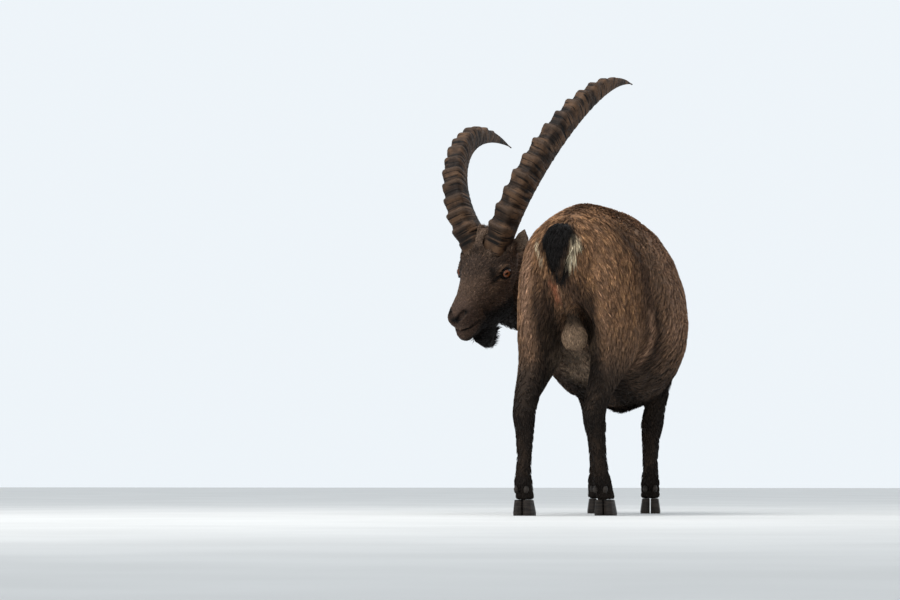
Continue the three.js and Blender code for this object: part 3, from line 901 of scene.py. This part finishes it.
# %% Colours of legs, neck and head
def leg_colours(points, normals):
    left, _, up = in_body(points)
    reach = 378 + 105 * (1 - ramp(np.abs(left), 50, 115))
    streak = ramp(normals[:, 1], 0.35, 0.95) * (1 - ramp(up, 330, 420)) * ramp(up, 95, 130)
    speckle = 0.5 + 0.5 * ripple(points * np.array([1, 1, 0.25]), 0.012, 9)
    joints = hill((up - 258) / 34) + hill((up - 92) / 20)
    return layered(
        body_colours(points),
        (LEG_DARK, 1 - ramp(up, reach - 90, reach + 55)),
        (LEG_STREAK, 0.75 * streak * speckle),
        (BLACK_BROWN, 0.5 * joints),
    )


def neck_colours(points):
    up = in_body(points)[2]
    return layered(
        (GREY_BROWN + FLANK_DARK) / 2,
        (DARK_FLECK, 0.5 * ramp(ripple(points, 0.02, 7), 0, 0.8)),
        (JAW, 1 - ramp(up, 560, 690)),
    )


# painted shade in the hollow before the eye
EYE_HOLLOW_SHADE = ((31, 47, 28), (45, 49, 12))
BROW = ((31, 50, 28), (14, 60, 34), (-8, 66, 34), (-24, 66, 24))
UNDER_EYE = ((60, 50, -14), (24, 62, -26), (-10, 66, -24))


def head_colours(points):
    q = to_left(in_head(points))[0]
    x, y, z = q.T
    fleck = ripple(points, 0.009, 8)
    jaw_line = np.where(x > 104, -50, -33 - (104 - x) * 0.46)
    lip = hill((to_path(q, *MOUTH) - 6) / 4.5) * ramp(x, 118, 150) * ramp(z, -56, -48)
    _, out, opening = eye_view(q)
    at_eye = ramp(out, 2, 8) * (1 - ramp(np.linalg.norm(q - EYE_PLACE, axis=1), 26, 34))
    return layered(
        HEAD_BROWN,
        (FOREHEAD, ramp(z, 18, 40) * ramp(x, -60, 0)),
        (MUZZLE, ramp(x, 110, 165)),
        (DARK_FLECK, 0.6 * ramp(fleck, 0.1, 0.9)),
        (EYE_RING, 0.3 * ramp(-fleck, 0.2, 1.0)),
        (JAW, (1 - ramp(z, jaw_line - 36, jaw_line + 6)) * (1 - ramp(x, 120, 160))),
        (JAW, 0.8 * (1 - ramp(z, -92, -78))),
        (LIP, 0.9 * lip),
        (HORN_HAIR, 0.7 * hill((x + 34) / 24, (y - 8) / 26) * ramp(z, 66, 92)),
        # painted shade in the hollow before the eye
        (BLACK_BROWN, 0.9 * near_path(q, EYE_HOLLOW_SHADE, 12)),
        (BLACK_BROWN, 0.4 * near_path(q, BROW, 7)),
        (EYE_RING, 0.35 * near_path(q, UNDER_EYE, 12)),
        (EYE_RING, 0.85 * at_eye * hill((opening - 2.0) / 0.3)),
        (RIM, at_eye * (1 - ramp(opening, 1.4, 1.7))),
        (RIM, 1.3 * near_path(q, TEAR, 5)),
        (RIM, 1.4 * near_path(q, MOUTH, 3.2)),
        (RIM, 2.2 * near_path(q, NOSTRIL, 7)),
    )


def ear_colours(points, normals):
    facing = (normals @ HEAD_AXES)[:, 0]
    tip = ramp(in_head(points)[:, 2], 88, 112)
    return layered(EAR_BACK, (EAR_INSIDE, ramp(facing, 0.2, 0.7)), (BLACK_BROWN, 0.8 * tip))


def markings(points, parts, normals):
    """The coat's colour at each point, mixed from its regions' colours."""
    sac_shade = 0.85 * ramp(points[:, 2], 0.502, 0.535)
    return blended(
        (parts.trunk, rump_details(body_colours(points), points)),
        (parts.hind + parts.fore, rump_details(leg_colours(points, normals), points)),
        (parts.neck, neck_colours(points)),
        (parts.head, head_colours(points)),
        (parts.ear, ear_colours(points, normals)),
        (parts.scrotum, layered(SCROTUM, (LEG_DARK, sac_shade))),
        (parts.tail + parts.beard, BLACK),
    )


# %% Paint the skin
UNDER_COAT_SHADE = 0.75
LID_REACH = 26

skin = flesh
points = places_of(skin.data)
normals = normals_of(skin.data)
shares = shares_of(points)
parts = Parts(shares, points)
paint(skin.data, "coat_colour", markings(points, parts, normals) * UNDER_COAT_SHADE)

q = to_left(in_head(points))[0]
opening = eye_view(q)[2]
near_eye = np.linalg.norm(q - EYE_PLACE, axis=1) < LID_REACH
bare = np.clip(near_path(q, NOSTRIL, 6) + near_eye * (1 - ramp(opening, 1.1, 1.35)), 0, 1)
bare = np.clip(parts.head * (bare + near_path(q, MOUTH, 2.6)), 0, 1)
grade(skin.data, "bare", bare)

look = Recipe("short_coat", Sheen_Weight=0.02, Sheen_Roughness=0.4, Specular_IOR_Level=0.12)
fine = look.noise(420, 4)
shade = look.stretch(fine, 0.3, 0.7, 0.62, 1.25)
look.finish(
    Base_Color=look.shaded(look.attribute("coat_colour", "Color"), shade),
    Roughness=look.stretch(look.attribute("bare"), 0, 1, 0.85, 0.5),
)
look.bump(look.math("ADD", fine, look.math("MULTIPLY", look.noise(60, 3), 0.6)), 0.55, 0.0012)
finish_piece(skin, "coat", look.material, *FLESH)

# %% [markdown]
# ## Lie of the coat
#
# Hair grows backwards and downwards: from the nose over the face, along the neck and the back, down the
# flanks and the legs, and outwards over the rump from the tail. A direction is set for each region,
# laid flat on the skin, and evened out over the surface, so that the tufts turn gradually where two
# regions meet.

# %% Directions for the tufts
DOWN = np.array([0, 0, -1.0])
BACK = np.array([0, 1.0, 0])
OUT = np.array([1.0, 0, 0])
NECK_LINE = np.array([  # left of the root of the tail, ahead of it, and up
    (396, 636, 716), (380, 712, 716), (340, 792, 710), (270, 846, 704), (184, 850, 698), (44, 740, 668),
])


def neck_lay(points):
    """Along the neck, from the head round to the chest."""
    stops = NECK_LINE * [1.0, -1, 1]
    local = (points - np.array(body_origin)) / MM
    best = np.full(len(points), 1e9)
    lay = np.zeros((len(points), 3))
    for a, b in zip(stops, stops[1:]):
        distance = to_segment(local, a, b)[0]
        closer = distance < best
        best = np.where(closer, distance, best)
        lay[closer] = unit(b - a)
    return lay + 0.45 * DOWN


def coat_lay(points, parts):
    left, ahead, up = in_body(points)
    aside = np.abs(left)
    outward = column(np.sign(left) * ramp(aside, 5, 45)) * OUT
    rear = column(1 - ramp(ahead, 40, 260))
    side_lay = BACK + column(0.2 + 0.65 * ramp(aside, 50, 180)) * DOWN
    rump_lay = DOWN + 0.2 * BACK + 0.5 * outward
    swept, spread = 0.35 * ramp(ahead, 40, 150), 0.45 * ramp(up, 420, 600)
    q = in_head(points)
    throat = 0.15 + 0.5 * (1 - ramp(q[:, 2], -80, -20))
    return blended(
        (parts.trunk, side_lay * (1 - rear) + rump_lay * rear),
        (parts.hind, DOWN + column(swept) * BACK + column(spread) * outward),
        (parts.fore, DOWN + column(0.4 * ramp(up, 400, 600)) * BACK),
        (parts.neck, neck_lay(points)),
        (parts.head, column(throat) * DOWN - HEAD_AXES[:, 0]),
        (parts.ear, column(np.sign(q[:, 1]) * 0.5) * HEAD_AXES[:, 1] + 0.9 * HEAD_AXES[:, 2]),
        (parts.scrotum, DOWN + 0.1 * BACK),
        (parts.tail, DOWN + 0.25 * BACK),
        (parts.beard, 0.5 * DOWN - 0.9 * HEAD_AXES[:, 0]),
    )


lay = laid_flat(coat_lay(points, parts), normals)
for _ in range(3):
    lay = laid_flat(evened(lay, neighbours(skin.data), 6), normals)
print("lay of the coat set at", len(lay), "points")

# %% Hair round the horns
HORN_ROOT = np.array([-65.0, 41, 66])
HORN_LEAN = unit(np.array([-55.0, 68, 146]))
HORN_HALF_WIDTH = 33.4
HORN_HALF_DEPTH = 52.4


def round_horn(points):
    """1 close round a horn's root and 0 elsewhere, and the way that the horn grows from there."""
    q, mirror = to_left(in_head(points) * HEAD_SIZE)
    from_root = q - HORN_ROOT
    front = unit(np.cross([0, 1.0, 0], HORN_LEAN))
    outward = np.cross(HORN_LEAN, front)
    spread = np.hypot(from_root @ front / HORN_HALF_DEPTH, from_root @ outward / HORN_HALF_WIDTH)
    return hill((spread - 1.16) / 0.16), HORN_LEAN * mirror @ HEAD_AXES.T


horn_ruff = round_horn(points)[0] * parts.head
print("hair rises along the horns at", int((horn_ruff > 0.5).sum()), "points")

# %% [markdown]
# ## Tufts
#
# One tuft is a thin three-sided spike of ten triangles: a short base sunk in the skin, a middle and a
# point. Five tufts grow as a lock, with their tips drawn together. Locks are scattered over the skin
# with a fixed seed, closer and smaller on the face and feet. Each tuft is bent to follow the body, so
# its tip comes back near the skin.

# %% Scatter the locks
LOCKS = 27600
TUFTS_IN_LOCK = 5
CLAW_TOP = 0.042
scatter = np.random.default_rng(17)

skin.data.calc_loop_triangles()
corners = read(skin.data.loop_triangles, "vertices", 3, int)
a, b, c = (points[corners[:, k]] for k in range(3))
area = np.linalg.norm(np.cross(b - a, c - a), axis=1) / 2
covered = (points[:, 2] > CLAW_TOP) & ~(near_eye & (opening < 1.25))
many = coat_value(parts, "many") * (1 - bare) * covered * (1 + 1.6 * horn_ruff)
chance = area * many[corners].mean(axis=1)
chosen = scatter.choice(len(corners), LOCKS, p=chance / chance.sum())
first = scatter.random(LOCKS)
second = scatter.random(LOCKS)
flip = first + second > 1
first = np.where(flip, 1 - first, first)
second = np.where(flip, 1 - second, second)
mixes = np.stack([1 - first - second, first, second], axis=1)


def on_skin(values):
    """A value of the skin's points, read at each lock's root."""
    table = values[corners[chosen]]
    return (table * mixes.reshape(LOCKS, 3, *[1] * (values.ndim - 1))).sum(axis=1)


print(LOCKS, "locks on", round(area.sum(), 2), "square metres")

# %% Length, width and colour of each lock
root = on_skin(points)
lock_normal = unit(on_skin(normals))
lock_lay = laid_flat(on_skin(lay), lock_normal)
lock_parts = Parts(on_skin(shares), root)
length, width, depth = (coat_value(lock_parts, key) * MM for key in ("length", "width", "depth"))
body = np.stack(in_body(root), axis=1)
under = ramp(-lock_normal[:, 2], 0.2, 0.8) * lock_parts.trunk
brisket = under * ramp(body[:, 1], 560, 680)
by_horn, horn_way = round_horn(root)
by_horn = by_horn * lock_parts.head
length = length * (1 + 0.9 * brisket + 0.25 * under)
length = length * (1 + 0.7 * near_path(body, FRINGE_RIGHT, 14)) * (1 + 0.9 * by_horn)
lock_colour = markings(root, lock_parts, lock_normal)
lock_colour = layered(lock_colour, (HORN_HAIR, 0.45 * by_horn))
lock_tone = scatter.normal(0, 1, LOCKS)
lock_turn = 0.10 * scatter.normal(size=LOCKS) + 0.12 * ripple(root, 0.11, 11)
hanging = np.clip(0.95 * lock_parts.beard + 0.5 * lock_parts.tail + 0.5 * brisket, 0, 1)
hanging = np.maximum(hanging, by_horn)
print("locks are", round(length.min() / MM), "to", round(length.max() / MM), "mm long")

# %% Bend the tufts over the body
TIPS_TOGETHER = 0.55
LOWEST_TIP = 0.012
count = LOCKS * TUFTS_IN_LOCK


def each(values):
    """A lock's value, repeated for each of its tufts."""
    return np.repeat(values, TUFTS_IN_LOCK, axis=0)


skin_search = BVHTree.FromObject(skin, bpy.context.evaluated_depsgraph_get())


def down_to_skin(places):
    """The nearest places on the skin, with its normals there."""
    found = np.empty((2, len(places), 3))
    for i, place in enumerate(places):
        found[0, i], found[1, i] = skin_search.find_nearest(place)[:2]
    return found


turn = each(lock_turn) + 0.10 * scatter.normal(size=count)
across = np.cross(each(lock_normal), each(lock_lay))
heading = each(lock_lay) * column(np.cos(turn)) + across * column(np.sin(turn))
sideways = scatter.uniform(-1, 1, count) * each(width) * 1.7
along = scatter.uniform(-1, 1, count) * each(length) * 0.28
base, base_normal = down_to_skin(each(root) + across * column(sideways) + heading * column(along))
heading = laid_flat(heading, base_normal)
across = np.cross(base_normal, heading)
long = column(each(length) * scatter.uniform(0.72, 1.2, count))
draw = -across * column(sideways) * TIPS_TOGETHER
lift = column(each(depth) * scatter.uniform(0.55, 1.0, count))

middle, middle_normal = down_to_skin(base + heading * (long * 0.5) + draw * 0.4)
tip, tip_normal = down_to_skin(base + heading * long + draw)
free = column(each(hanging))
up_horn = column(each(by_horn))
droop = column(0.7 - 0.45 * each(lock_parts.beard))
fall = (DOWN * droop + heading * 0.75) * (1 - up_horn) + (each(horn_way) + 0.25 * heading) * up_horn
fall = unit(fall) * long
free_middle = base + fall * 0.5 + base_normal * 0.003
middle = (middle + middle_normal * (lift * 0.62)) * (1 - free) + free_middle * free
tip = (tip + tip_normal * lift) * (1 - free) + (base + fall) * free
tip[:, 2] = np.maximum(tip[:, 2], LOWEST_TIP)
print(count, "tufts bent over the skin")

# %% Corners and colours of the tufts
SINK = 0.0006
THICKNESS = 0.34  # as a share of the width
FADE = np.array([0.5, 0.5, 0.55, 0.92, 0.92, 1.0, 1.35])  # dark at the root, light at the tip
TUFT_FACES = np.array([
    [1, 0, 2], [0, 1, 4], [0, 4, 3], [1, 2, 5], [1, 5, 4],
    [2, 0, 3], [2, 3, 5], [3, 4, 6], [4, 5, 6], [5, 3, 6],
])
PATCH = np.array([[-1, -1], [1, -1], [0, -1], [-1, 0.2], [1, 0.2], [0, 0.2], [0, 1]]) * 0.0015

wide = each(width) * scatter.uniform(0.75, 1.2, count)
foot = base - base_normal * SINK
end = across * column(wide / 2)
ridge = base_normal * column(wide * THICKNESS)
foot_corners = [foot - end * 0.8, foot + end * 0.8, foot + ridge]
middle_corners = [middle - end, middle + end, middle + ridge * 0.9]
tuft_corners = np.stack([*foot_corners, *middle_corners, tip], axis=1)
uneven = 0.30 + 0.15 * each(lock_parts.head)
tone = np.exp(0.13 * each(lock_tone) + uneven * scatter.normal(size=count))
tuft_colour = each(lock_colour) * column(tone)
corner_colours = np.clip(tuft_colour[:, None, :] * column(FADE), 0, 1)
print("tufts are", round(wide.min() / MM, 1), "to", round(wide.max() / MM, 1), "mm wide")

# %% [markdown]
# ## A flat map of the skin
#
# When the model is carried to other programs its colours are baked, so each tuft needs its own small
# patch of a flat map. A coarse copy of the skin is unwrapped, and each tuft takes a patch three
# thousandths wide at its root's place.

# %% Unwrap a coarse copy of the skin
MAP_SHARE = 0.06
MAP_EDGE = 0.002

only(skin)
bpy.ops.object.duplicate()
coarse = bpy.context.object
apply_modifier(coarse, "DECIMATE", ratio=MAP_SHARE)
start_edit(coarse)
bpy.ops.uv.smart_project(angle_limit=math.radians(66), island_margin=0.002)
end_edit()
coarse.data.calc_loop_triangles()
coarse_points = places_of(coarse.data)
coarse_corners = read(coarse.data.loop_triangles, "vertices", 3, int)
coarse_loops = read(coarse.data.loop_triangles, "loops", 3, int)
flat_places = read(coarse.data.uv_layers.active.data, "uv", 2)[coarse_loops]
coarse_search = BVHTree.FromPolygons(coarse_points.tolist(), coarse_corners.tolist())
where = np.empty((count, 3))
face = np.empty(count, int)
for i, place in enumerate(base):
    where[i], _, face[i], _ = coarse_search.find_nearest(place)
bpy.data.objects.remove(coarse)
print("flat map of", len(coarse_corners), "triangles")

# %% Place each tuft on the flat map
start, one, other = (coarse_points[coarse_corners[face, k]] for k in range(3))
one, other, offset = one - start, other - start, where - start


def dot(first, second):
    return (first * second).sum(axis=1)


crossed = dot(one, one) * dot(other, other) - dot(one, other) ** 2
share_one = dot(offset, one) * dot(other, other) - dot(offset, other) * dot(one, other)
share_other = dot(offset, other) * dot(one, one) - dot(offset, one) * dot(one, other)
share_one, share_other = (
    np.where(crossed > 1e-18, share / np.maximum(crossed, 1e-18), 0) for share in (share_one, share_other)
)
shares_on_face = np.stack([1 - share_one - share_other, share_one, share_other], axis=1)
root_map = (flat_places[face] * shares_on_face[:, :, None]).sum(axis=1)
root_map = np.clip(root_map, MAP_EDGE, 1 - MAP_EDGE)
print(count, "tufts placed on the flat map")

# %% Build the coat
COAT_PIECES = 7

look = Recipe("coat_hair", Sheen_Weight=0.02, Sheen_Roughness=0.4, Specular_IOR_Level=0.12)
grain = look.stretch(look.noise(700, 2), 0.3, 0.7, 0.8, 1.2)
look.finish(
    Base_Color=look.shaded(look.attribute("coat_colour", "Color"), grain),
    Roughness=look.stretch(look.noise(90, 2), 0.3, 0.7, 0.58, 0.78),
)
look.bump(look.noise(900, 2), 0.25, 0.0004)


def coat_piece(number):
    mine = slice(number, None, COAT_PIECES)
    tufts = tuft_corners[mine]
    first_corner = np.arange(len(tufts))[:, None, None] * len(FADE)
    faces = (TUFT_FACES + first_corner).reshape(-1, 3)
    made = bpy.data.meshes.new(f"coat_{number + 1}")
    made.from_pydata(tufts.reshape(-1, 3), [], faces)
    paint(made, "coat_colour", corner_colours[mine].reshape(-1, 3))
    patches = (root_map[mine][:, None] + PATCH).reshape(-1, 2)
    bake_map = made.uv_layers.new(name="OFBake")
    bake_map.data.foreach_set("uv", patches[faces.ravel()].ravel())
    finish_piece(put(made.name, made), "coat", look.material)


for number in range(COAT_PIECES):
    coat_piece(number)

# %% [markdown]
# ## Eyes
#
# An ibex has an amber eye with a dark slot of a pupil that lies level, a dark ring round the iris and a
# clear bulge before it. A ball is turned so that its pole looks out, its front is raised for the clear
# bulge, and the rings are drawn by a map that measures from the middle of the iris.

# %% Eye finish
IRIS = 0.66  # its radius, as a share of the ball's
PUPIL_WIDTH = 0.34
PUPIL_HEIGHT = 0.17
AMBER = seen(122, 68, 36)
AMBER_DARK = seen(70, 36, 20)
IRIS_RIM = seen(40, 22, 14)
EYE_WHITE = seen(34, 24, 20)
PUPIL = seen(6, 5, 5)

look = Recipe("eye_amber", Roughness=0.12, Coat_Weight=0.25, Coat_Roughness=0.03, IOR=1.25)
split = look.node("SeparateXYZ", Vector=look.node("UVMap", {"uv_map": "EyeMap"}).outputs["UV"])
along, upward = split.outputs["X"], split.outputs["Y"]
radius = look.math("SQRT", look.math("ADD", *(look.math("POWER", v, 2.0) for v in (along, upward))))
around = look.math("ARCTAN2", upward, along)
rays = look.node("CombineXYZ", X=look.math("MULTIPLY", around, 3.0), Y=look.math("MULTIPLY", radius, 1.2))
streaks = look.noise(7, 4, vector=rays.outputs["Vector"])
drawn = look.mix(look.stretch(streaks, 0.35, 0.65), AMBER_DARK, AMBER)
drawn = look.mix(look.stretch(radius, IRIS - 0.16, IRIS), drawn, IRIS_RIM)
drawn = look.mix(look.stretch(radius, IRIS, IRIS + 0.05), drawn, EYE_WHITE)
slot_wide = look.math("POWER", look.math("DIVIDE", along, PUPIL_WIDTH), 2.0)
slot_tall = look.math("POWER", look.math("DIVIDE", upward, PUPIL_HEIGHT), 2.0)
slot = look.stretch(look.math("ADD", slot_wide, slot_tall), 1.25, 0.8)
look.finish(Base_Color=look.mix(slot, drawn, PUPIL))
look.bump(streaks, 0.08, 0.0003)

# %% Make both eyes
BULGE = 0.05


def make_eye(name, side):
    radius = EYE_RADIUS * HEAD_SIZE * MM
    ball = {"segments": 64, "ring_count": 40, "radius": radius}
    eye = add_piece(bpy.ops.mesh.primitive_uv_sphere_add, name + "_ball", **ball)
    local = places_of(eye.data) / radius
    off = np.hypot(local[:, 0], local[:, 1])
    eye_map = eye.data.uv_layers[0]
    eye_map.name = "EyeMap"
    which = read(eye.data.loops, "vertex_index", 1, int)[:, 0]
    eye_map.data.foreach_set("uv", local[which][:, :2].ravel())
    raised = BULGE * (1 - ramp(off, 0.25, IRIS + 0.06)) * (local[:, 2] > 0)
    mirror = np.array([1, side, 1])
    axes = np.array([EYE_FRONT * side, EYE_UP, EYE_OUT]) * mirror
    placed = EYE_PLACE * mirror + local * column(1 + raised) @ axes * EYE_RADIUS
    move_to(eye.data, from_head(placed))
    start_edit(eye)
    bpy.ops.mesh.normals_make_consistent(inside=False)
    end_edit()
    finish_piece(eye, "eye", look.material, name)


make_eye("eye_left", 1)
make_eye("eye_right", -1)

# %% [markdown]
# ## Horns
#
# A male's horns sweep up and back in one long curve, flat in front with a thick knot for each half year
# of growth, and finely wrinkled round the sides. A flat grid is rolled into a tapering tube along the
# curve, the knots and wrinkles are waves along its length, and the seam and both ends are closed.

# %% Shape of a horn
HORN_HANDLES = {
    1: [[-67, 64, 149], [-267, 149, 261], [-497, 189, 276], [-680, 155, 115]],
    -1: [[-40, 80, 140], [-203, 119, 208], [-413, 159, 153], [-625, 205, -80]],
}
CURVE_WEIGHTS = (1, 4, 6, 4, 1)
HORN_START = -0.035
HORN_END = 1.003
KNOTS = 13
KNOTS_END = 0.84
KNOT_RISE = 9.5
HOLLOW_DEPTH = 3
HALF_OUTLINE = ((0, 1.02), (0.8, 0.92), (1, 0.25), (0.68, -0.68), (0, -1))
ROUND = 48
ALONG = 420


def horn_path(t, side):
    """The horn's middle line, from its root at 0 to its tip at 1."""
    stops = [HORN_ROOT, *[HORN_ROOT + np.array(h) for h in HORN_HANDLES[side]]]
    weights = [n * t**i * (1 - t) ** (4 - i) for i, n in enumerate(CURVE_WEIGHTS)]
    return blended(*zip(weights, stops)) * np.array([1, side, 1])


def round_outline(angle):
    """Sideways and forward shares of the horn's outline, a smooth ring through a few corners."""
    corners = np.array([*HALF_OUTLINE, *[(-w, d) for w, d in HALF_OUTLINE[-2:0:-1]]])
    n = len(corners)
    place = angle / (2 * math.pi) * n
    k = np.floor(place).astype(int)
    f = column(place - k)
    before, here, after, later = (corners[(k + i) % n] for i in (-1, 0, 1, 2))
    bend = 2 * before - 5 * here + 4 * after - later
    twist = 3 * (here - after) + later - before
    return here + f * ((after - before) + f * (bend + f * twist)) / 2


def knots_along(t, side):
    """How far each knot rises along the horn, and the hollow after it, both from 0 to 1."""
    phase = (t - 0.02) / KNOTS_END * KNOTS
    number = np.floor(phase)
    step = phase - number
    last_ones = np.clip((KNOTS - number) / 3, 0, 1) * (phase >= 0) * (number < KNOTS)
    uneven = 0.84 + 0.16 * np.sin(number * 2.4 + side)
    rise = np.where(step < 0.75, ramp(step, 0.25, 0.76) ** 1.5, 1 - ramp(step, 0.78, 0.96))
    hollow = hill((step - 0.12) / 0.2) + hill((step - 1.06) / 0.12)
    return rise * last_ones * uneven, hollow * last_ones


print("each horn has", KNOTS, "knots")


# %% Roll a grid into a horn
def make_horn(name, side):
    cuts = {"x_subdivisions": ROUND, "y_subdivisions": ALONG, "size": 2}
    horn = add_piece(bpy.ops.mesh.primitive_grid_add, name + "_grown", **cuts)
    grid = places_of(horn.data)
    angle = (grid[:, 0] + 1) * math.pi
    t = HORN_START + (grid[:, 1] + 1) / 2 * (HORN_END - HORN_START)
    way = unit(horn_path(t + 0.01, side) - horn_path(t - 0.01, side))
    front = unit(np.cross([0, 1.0, 0], way))
    outward = np.cross(way, front)
    taper = np.maximum(0.05, 1 - np.maximum(0, t) ** 3.2) * (1 - 0.28 * t)
    rise, hollow = knots_along(t, side)
    sideways, forward = round_outline(angle % (2 * math.pi - 1e-9)).T
    frontal = ramp(forward, 0.25, 0.8)
    ring = np.stack([t * 380, 1.1 * np.sin(angle), 1.1 * np.cos(angle)], axis=1)
    wobble = ripple(ring, 2.6, 21)
    wrinkle = wobble * (1 - ramp(t, 0.72, 0.95)) * (0.9 - 0.35 * frontal) * ramp(t, 0.0, 0.04)
    side_dent = (0.05 * rise - 0.06 * hollow) * ramp(forward, -0.3, 0.4)
    knobs = (KNOT_RISE * rise - HOLLOW_DEPTH * hollow) * frontal
    ahead = forward * (HORN_HALF_DEPTH * taper + wrinkle) + knobs
    aside = sideways * (HORN_HALF_WIDTH * taper * (1 + side_dent) + wrinkle)
    local = horn_path(t, side) + outward * column(aside) + front * column(ahead)
    move_to(horn.data, from_head(local / HEAD_SIZE))
    grade(horn.data, "knot", rise * frontal)
    # painted shade in the hollow after each knot
    grade(horn.data, "groove_shade", hollow * ramp(forward, -0.25, 0.6) * (0.75 + 0.5 * wobble))
    grade(horn.data, "wrinkle", wobble)
    close_horn(horn)
    finish_piece(horn, "horn", look.material, name)


def close_horn(horn):
    """Joins the seam of the rolled grid and fills its two ends."""
    weld(horn, 0.00002)
    start_edit(horn)
    bpy.ops.mesh.select_mode(type="EDGE")
    bpy.ops.mesh.select_all(action="DESELECT")
    bpy.ops.mesh.select_non_manifold()
    bpy.ops.mesh.fill_holes(sides=ROUND + 2)
    bpy.ops.mesh.select_all(action="SELECT")
    bpy.ops.mesh.quads_convert_to_tris()
    bpy.ops.mesh.normals_make_consistent(inside=False)
    end_edit()


# %% Horn finish
HORN_CREST = seen(70, 55, 44)
HORN_BODY = seen(92, 69, 51)
HORN_OLD = seen(44, 33, 26)
# dark horn, also used for painted shade in the hollows between the knots
HORN_DARK = seen(14, 11, 9)

look = Recipe("horn_weathered", Specular_IOR_Level=0.14)
wrinkle = look.attribute("wrinkle")
fibres = look.noise(160, 5)
drawn = look.mix(look.stretch(look.noise(22, 3), 0.35, 0.65), HORN_BODY, HORN_OLD)
drawn = look.mix(look.stretch(wrinkle, -0.1, -0.7), drawn, HORN_DARK)
drawn = look.mix(look.stretch(look.attribute("knot"), 0.35, 0.9, 0.0, 0.85), drawn, HORN_CREST)
drawn = look.mix(look.stretch(fibres, 0.56, 0.72, 0.0, 0.55), drawn, HORN_DARK)
# painted shade in the hollows between the knots
drawn = look.mix(look.stretch(look.attribute("groove_shade"), 0.1, 1.0, 0.0, 0.9), drawn, HORN_DARK)
look.finish(Base_Color=drawn, Roughness=look.stretch(fibres, 0.3, 0.7, 0.5, 0.75))
look.bump(look.math("ADD", fibres, look.math("MULTIPLY", wrinkle, 0.5)), 0.6, 0.0012)

make_horn("horn_left", 1)
make_horn("horn_right", -1)

# %% [markdown]
# ## Claws
#
# Each foot stands on two claws, with two small ones behind the fetlock. The measured claws have the
# right size but sharp facets, so each is remeshed finely and smoothed, and its sole is pressed flat on
# the floor again.

# %% Claws
CLAW_VOXEL = 0.0016
CLAW_SMOOTHING = 9
SOLE = 0.0025
CLAW_DARK = seen(24, 20, 18)
CLAW_LIGHT = seen(48, 41, 36)
CLAW_DUST = seen(66, 58, 50)

look = Recipe("claw_horn", Specular_IOR_Level=0.2)
rings = look.noise(150, 3, squeeze=(0.25, 0.25, 1.6))
grit = look.noise(380, 4)
ringed = look.mix(look.stretch(rings, 0.35, 0.65), CLAW_DARK, CLAW_LIGHT)
look.finish(
    Base_Color=look.mix(look.stretch(grit, 0.5, 0.75, 0, 0.5), ringed, CLAW_DUST),
    Roughness=look.stretch(grit, 0.3, 0.7, 0.42, 0.7),
)
look.bump(rings, 0.5, 0.001)


def make_claw(name):
    claw = copy_of([name], name + "_smooth")
    stands = places_of(claw.data)[:, 2].min() < SOLE
    apply_modifier(claw, "REMESH", mode="VOXEL", voxel_size=CLAW_VOXEL)
    apply_modifier(claw, "SMOOTH", factor=0.5, iterations=CLAW_SMOOTHING)
    places = places_of(claw.data)
    if stands:
        places[:, 2] = np.where(places[:, 2] < SOLE, 0, places[:, 2])
    move_to(claw.data, places)
    finish_piece(claw, "claw", look.material, name)


for name in sorted(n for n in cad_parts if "_claw_" in n):
    make_claw(name)

# %% [markdown]
# ## Floor
#
# A wide pale floor, with a faint unevenness so that it isn't one flat colour.

# %% Floor
FLOOR_SIZE = 60
FLOOR_GREY = np.array([0.62, 0.62, 0.61])
FLOOR_PALE = np.array([0.68, 0.68, 0.67])

floor = add_piece(bpy.ops.mesh.primitive_plane_add, "floor", size=FLOOR_SIZE, location=(0, 0, 0))
look = Recipe("pale_floor", Roughness=0.75)
cloud = look.stretch(look.noise(1.5, 3), 0.3, 0.7)
look.finish(Base_Color=look.mix(cloud, FLOOR_GREY, FLOOR_PALE))
floor.data.materials.append(look.material)
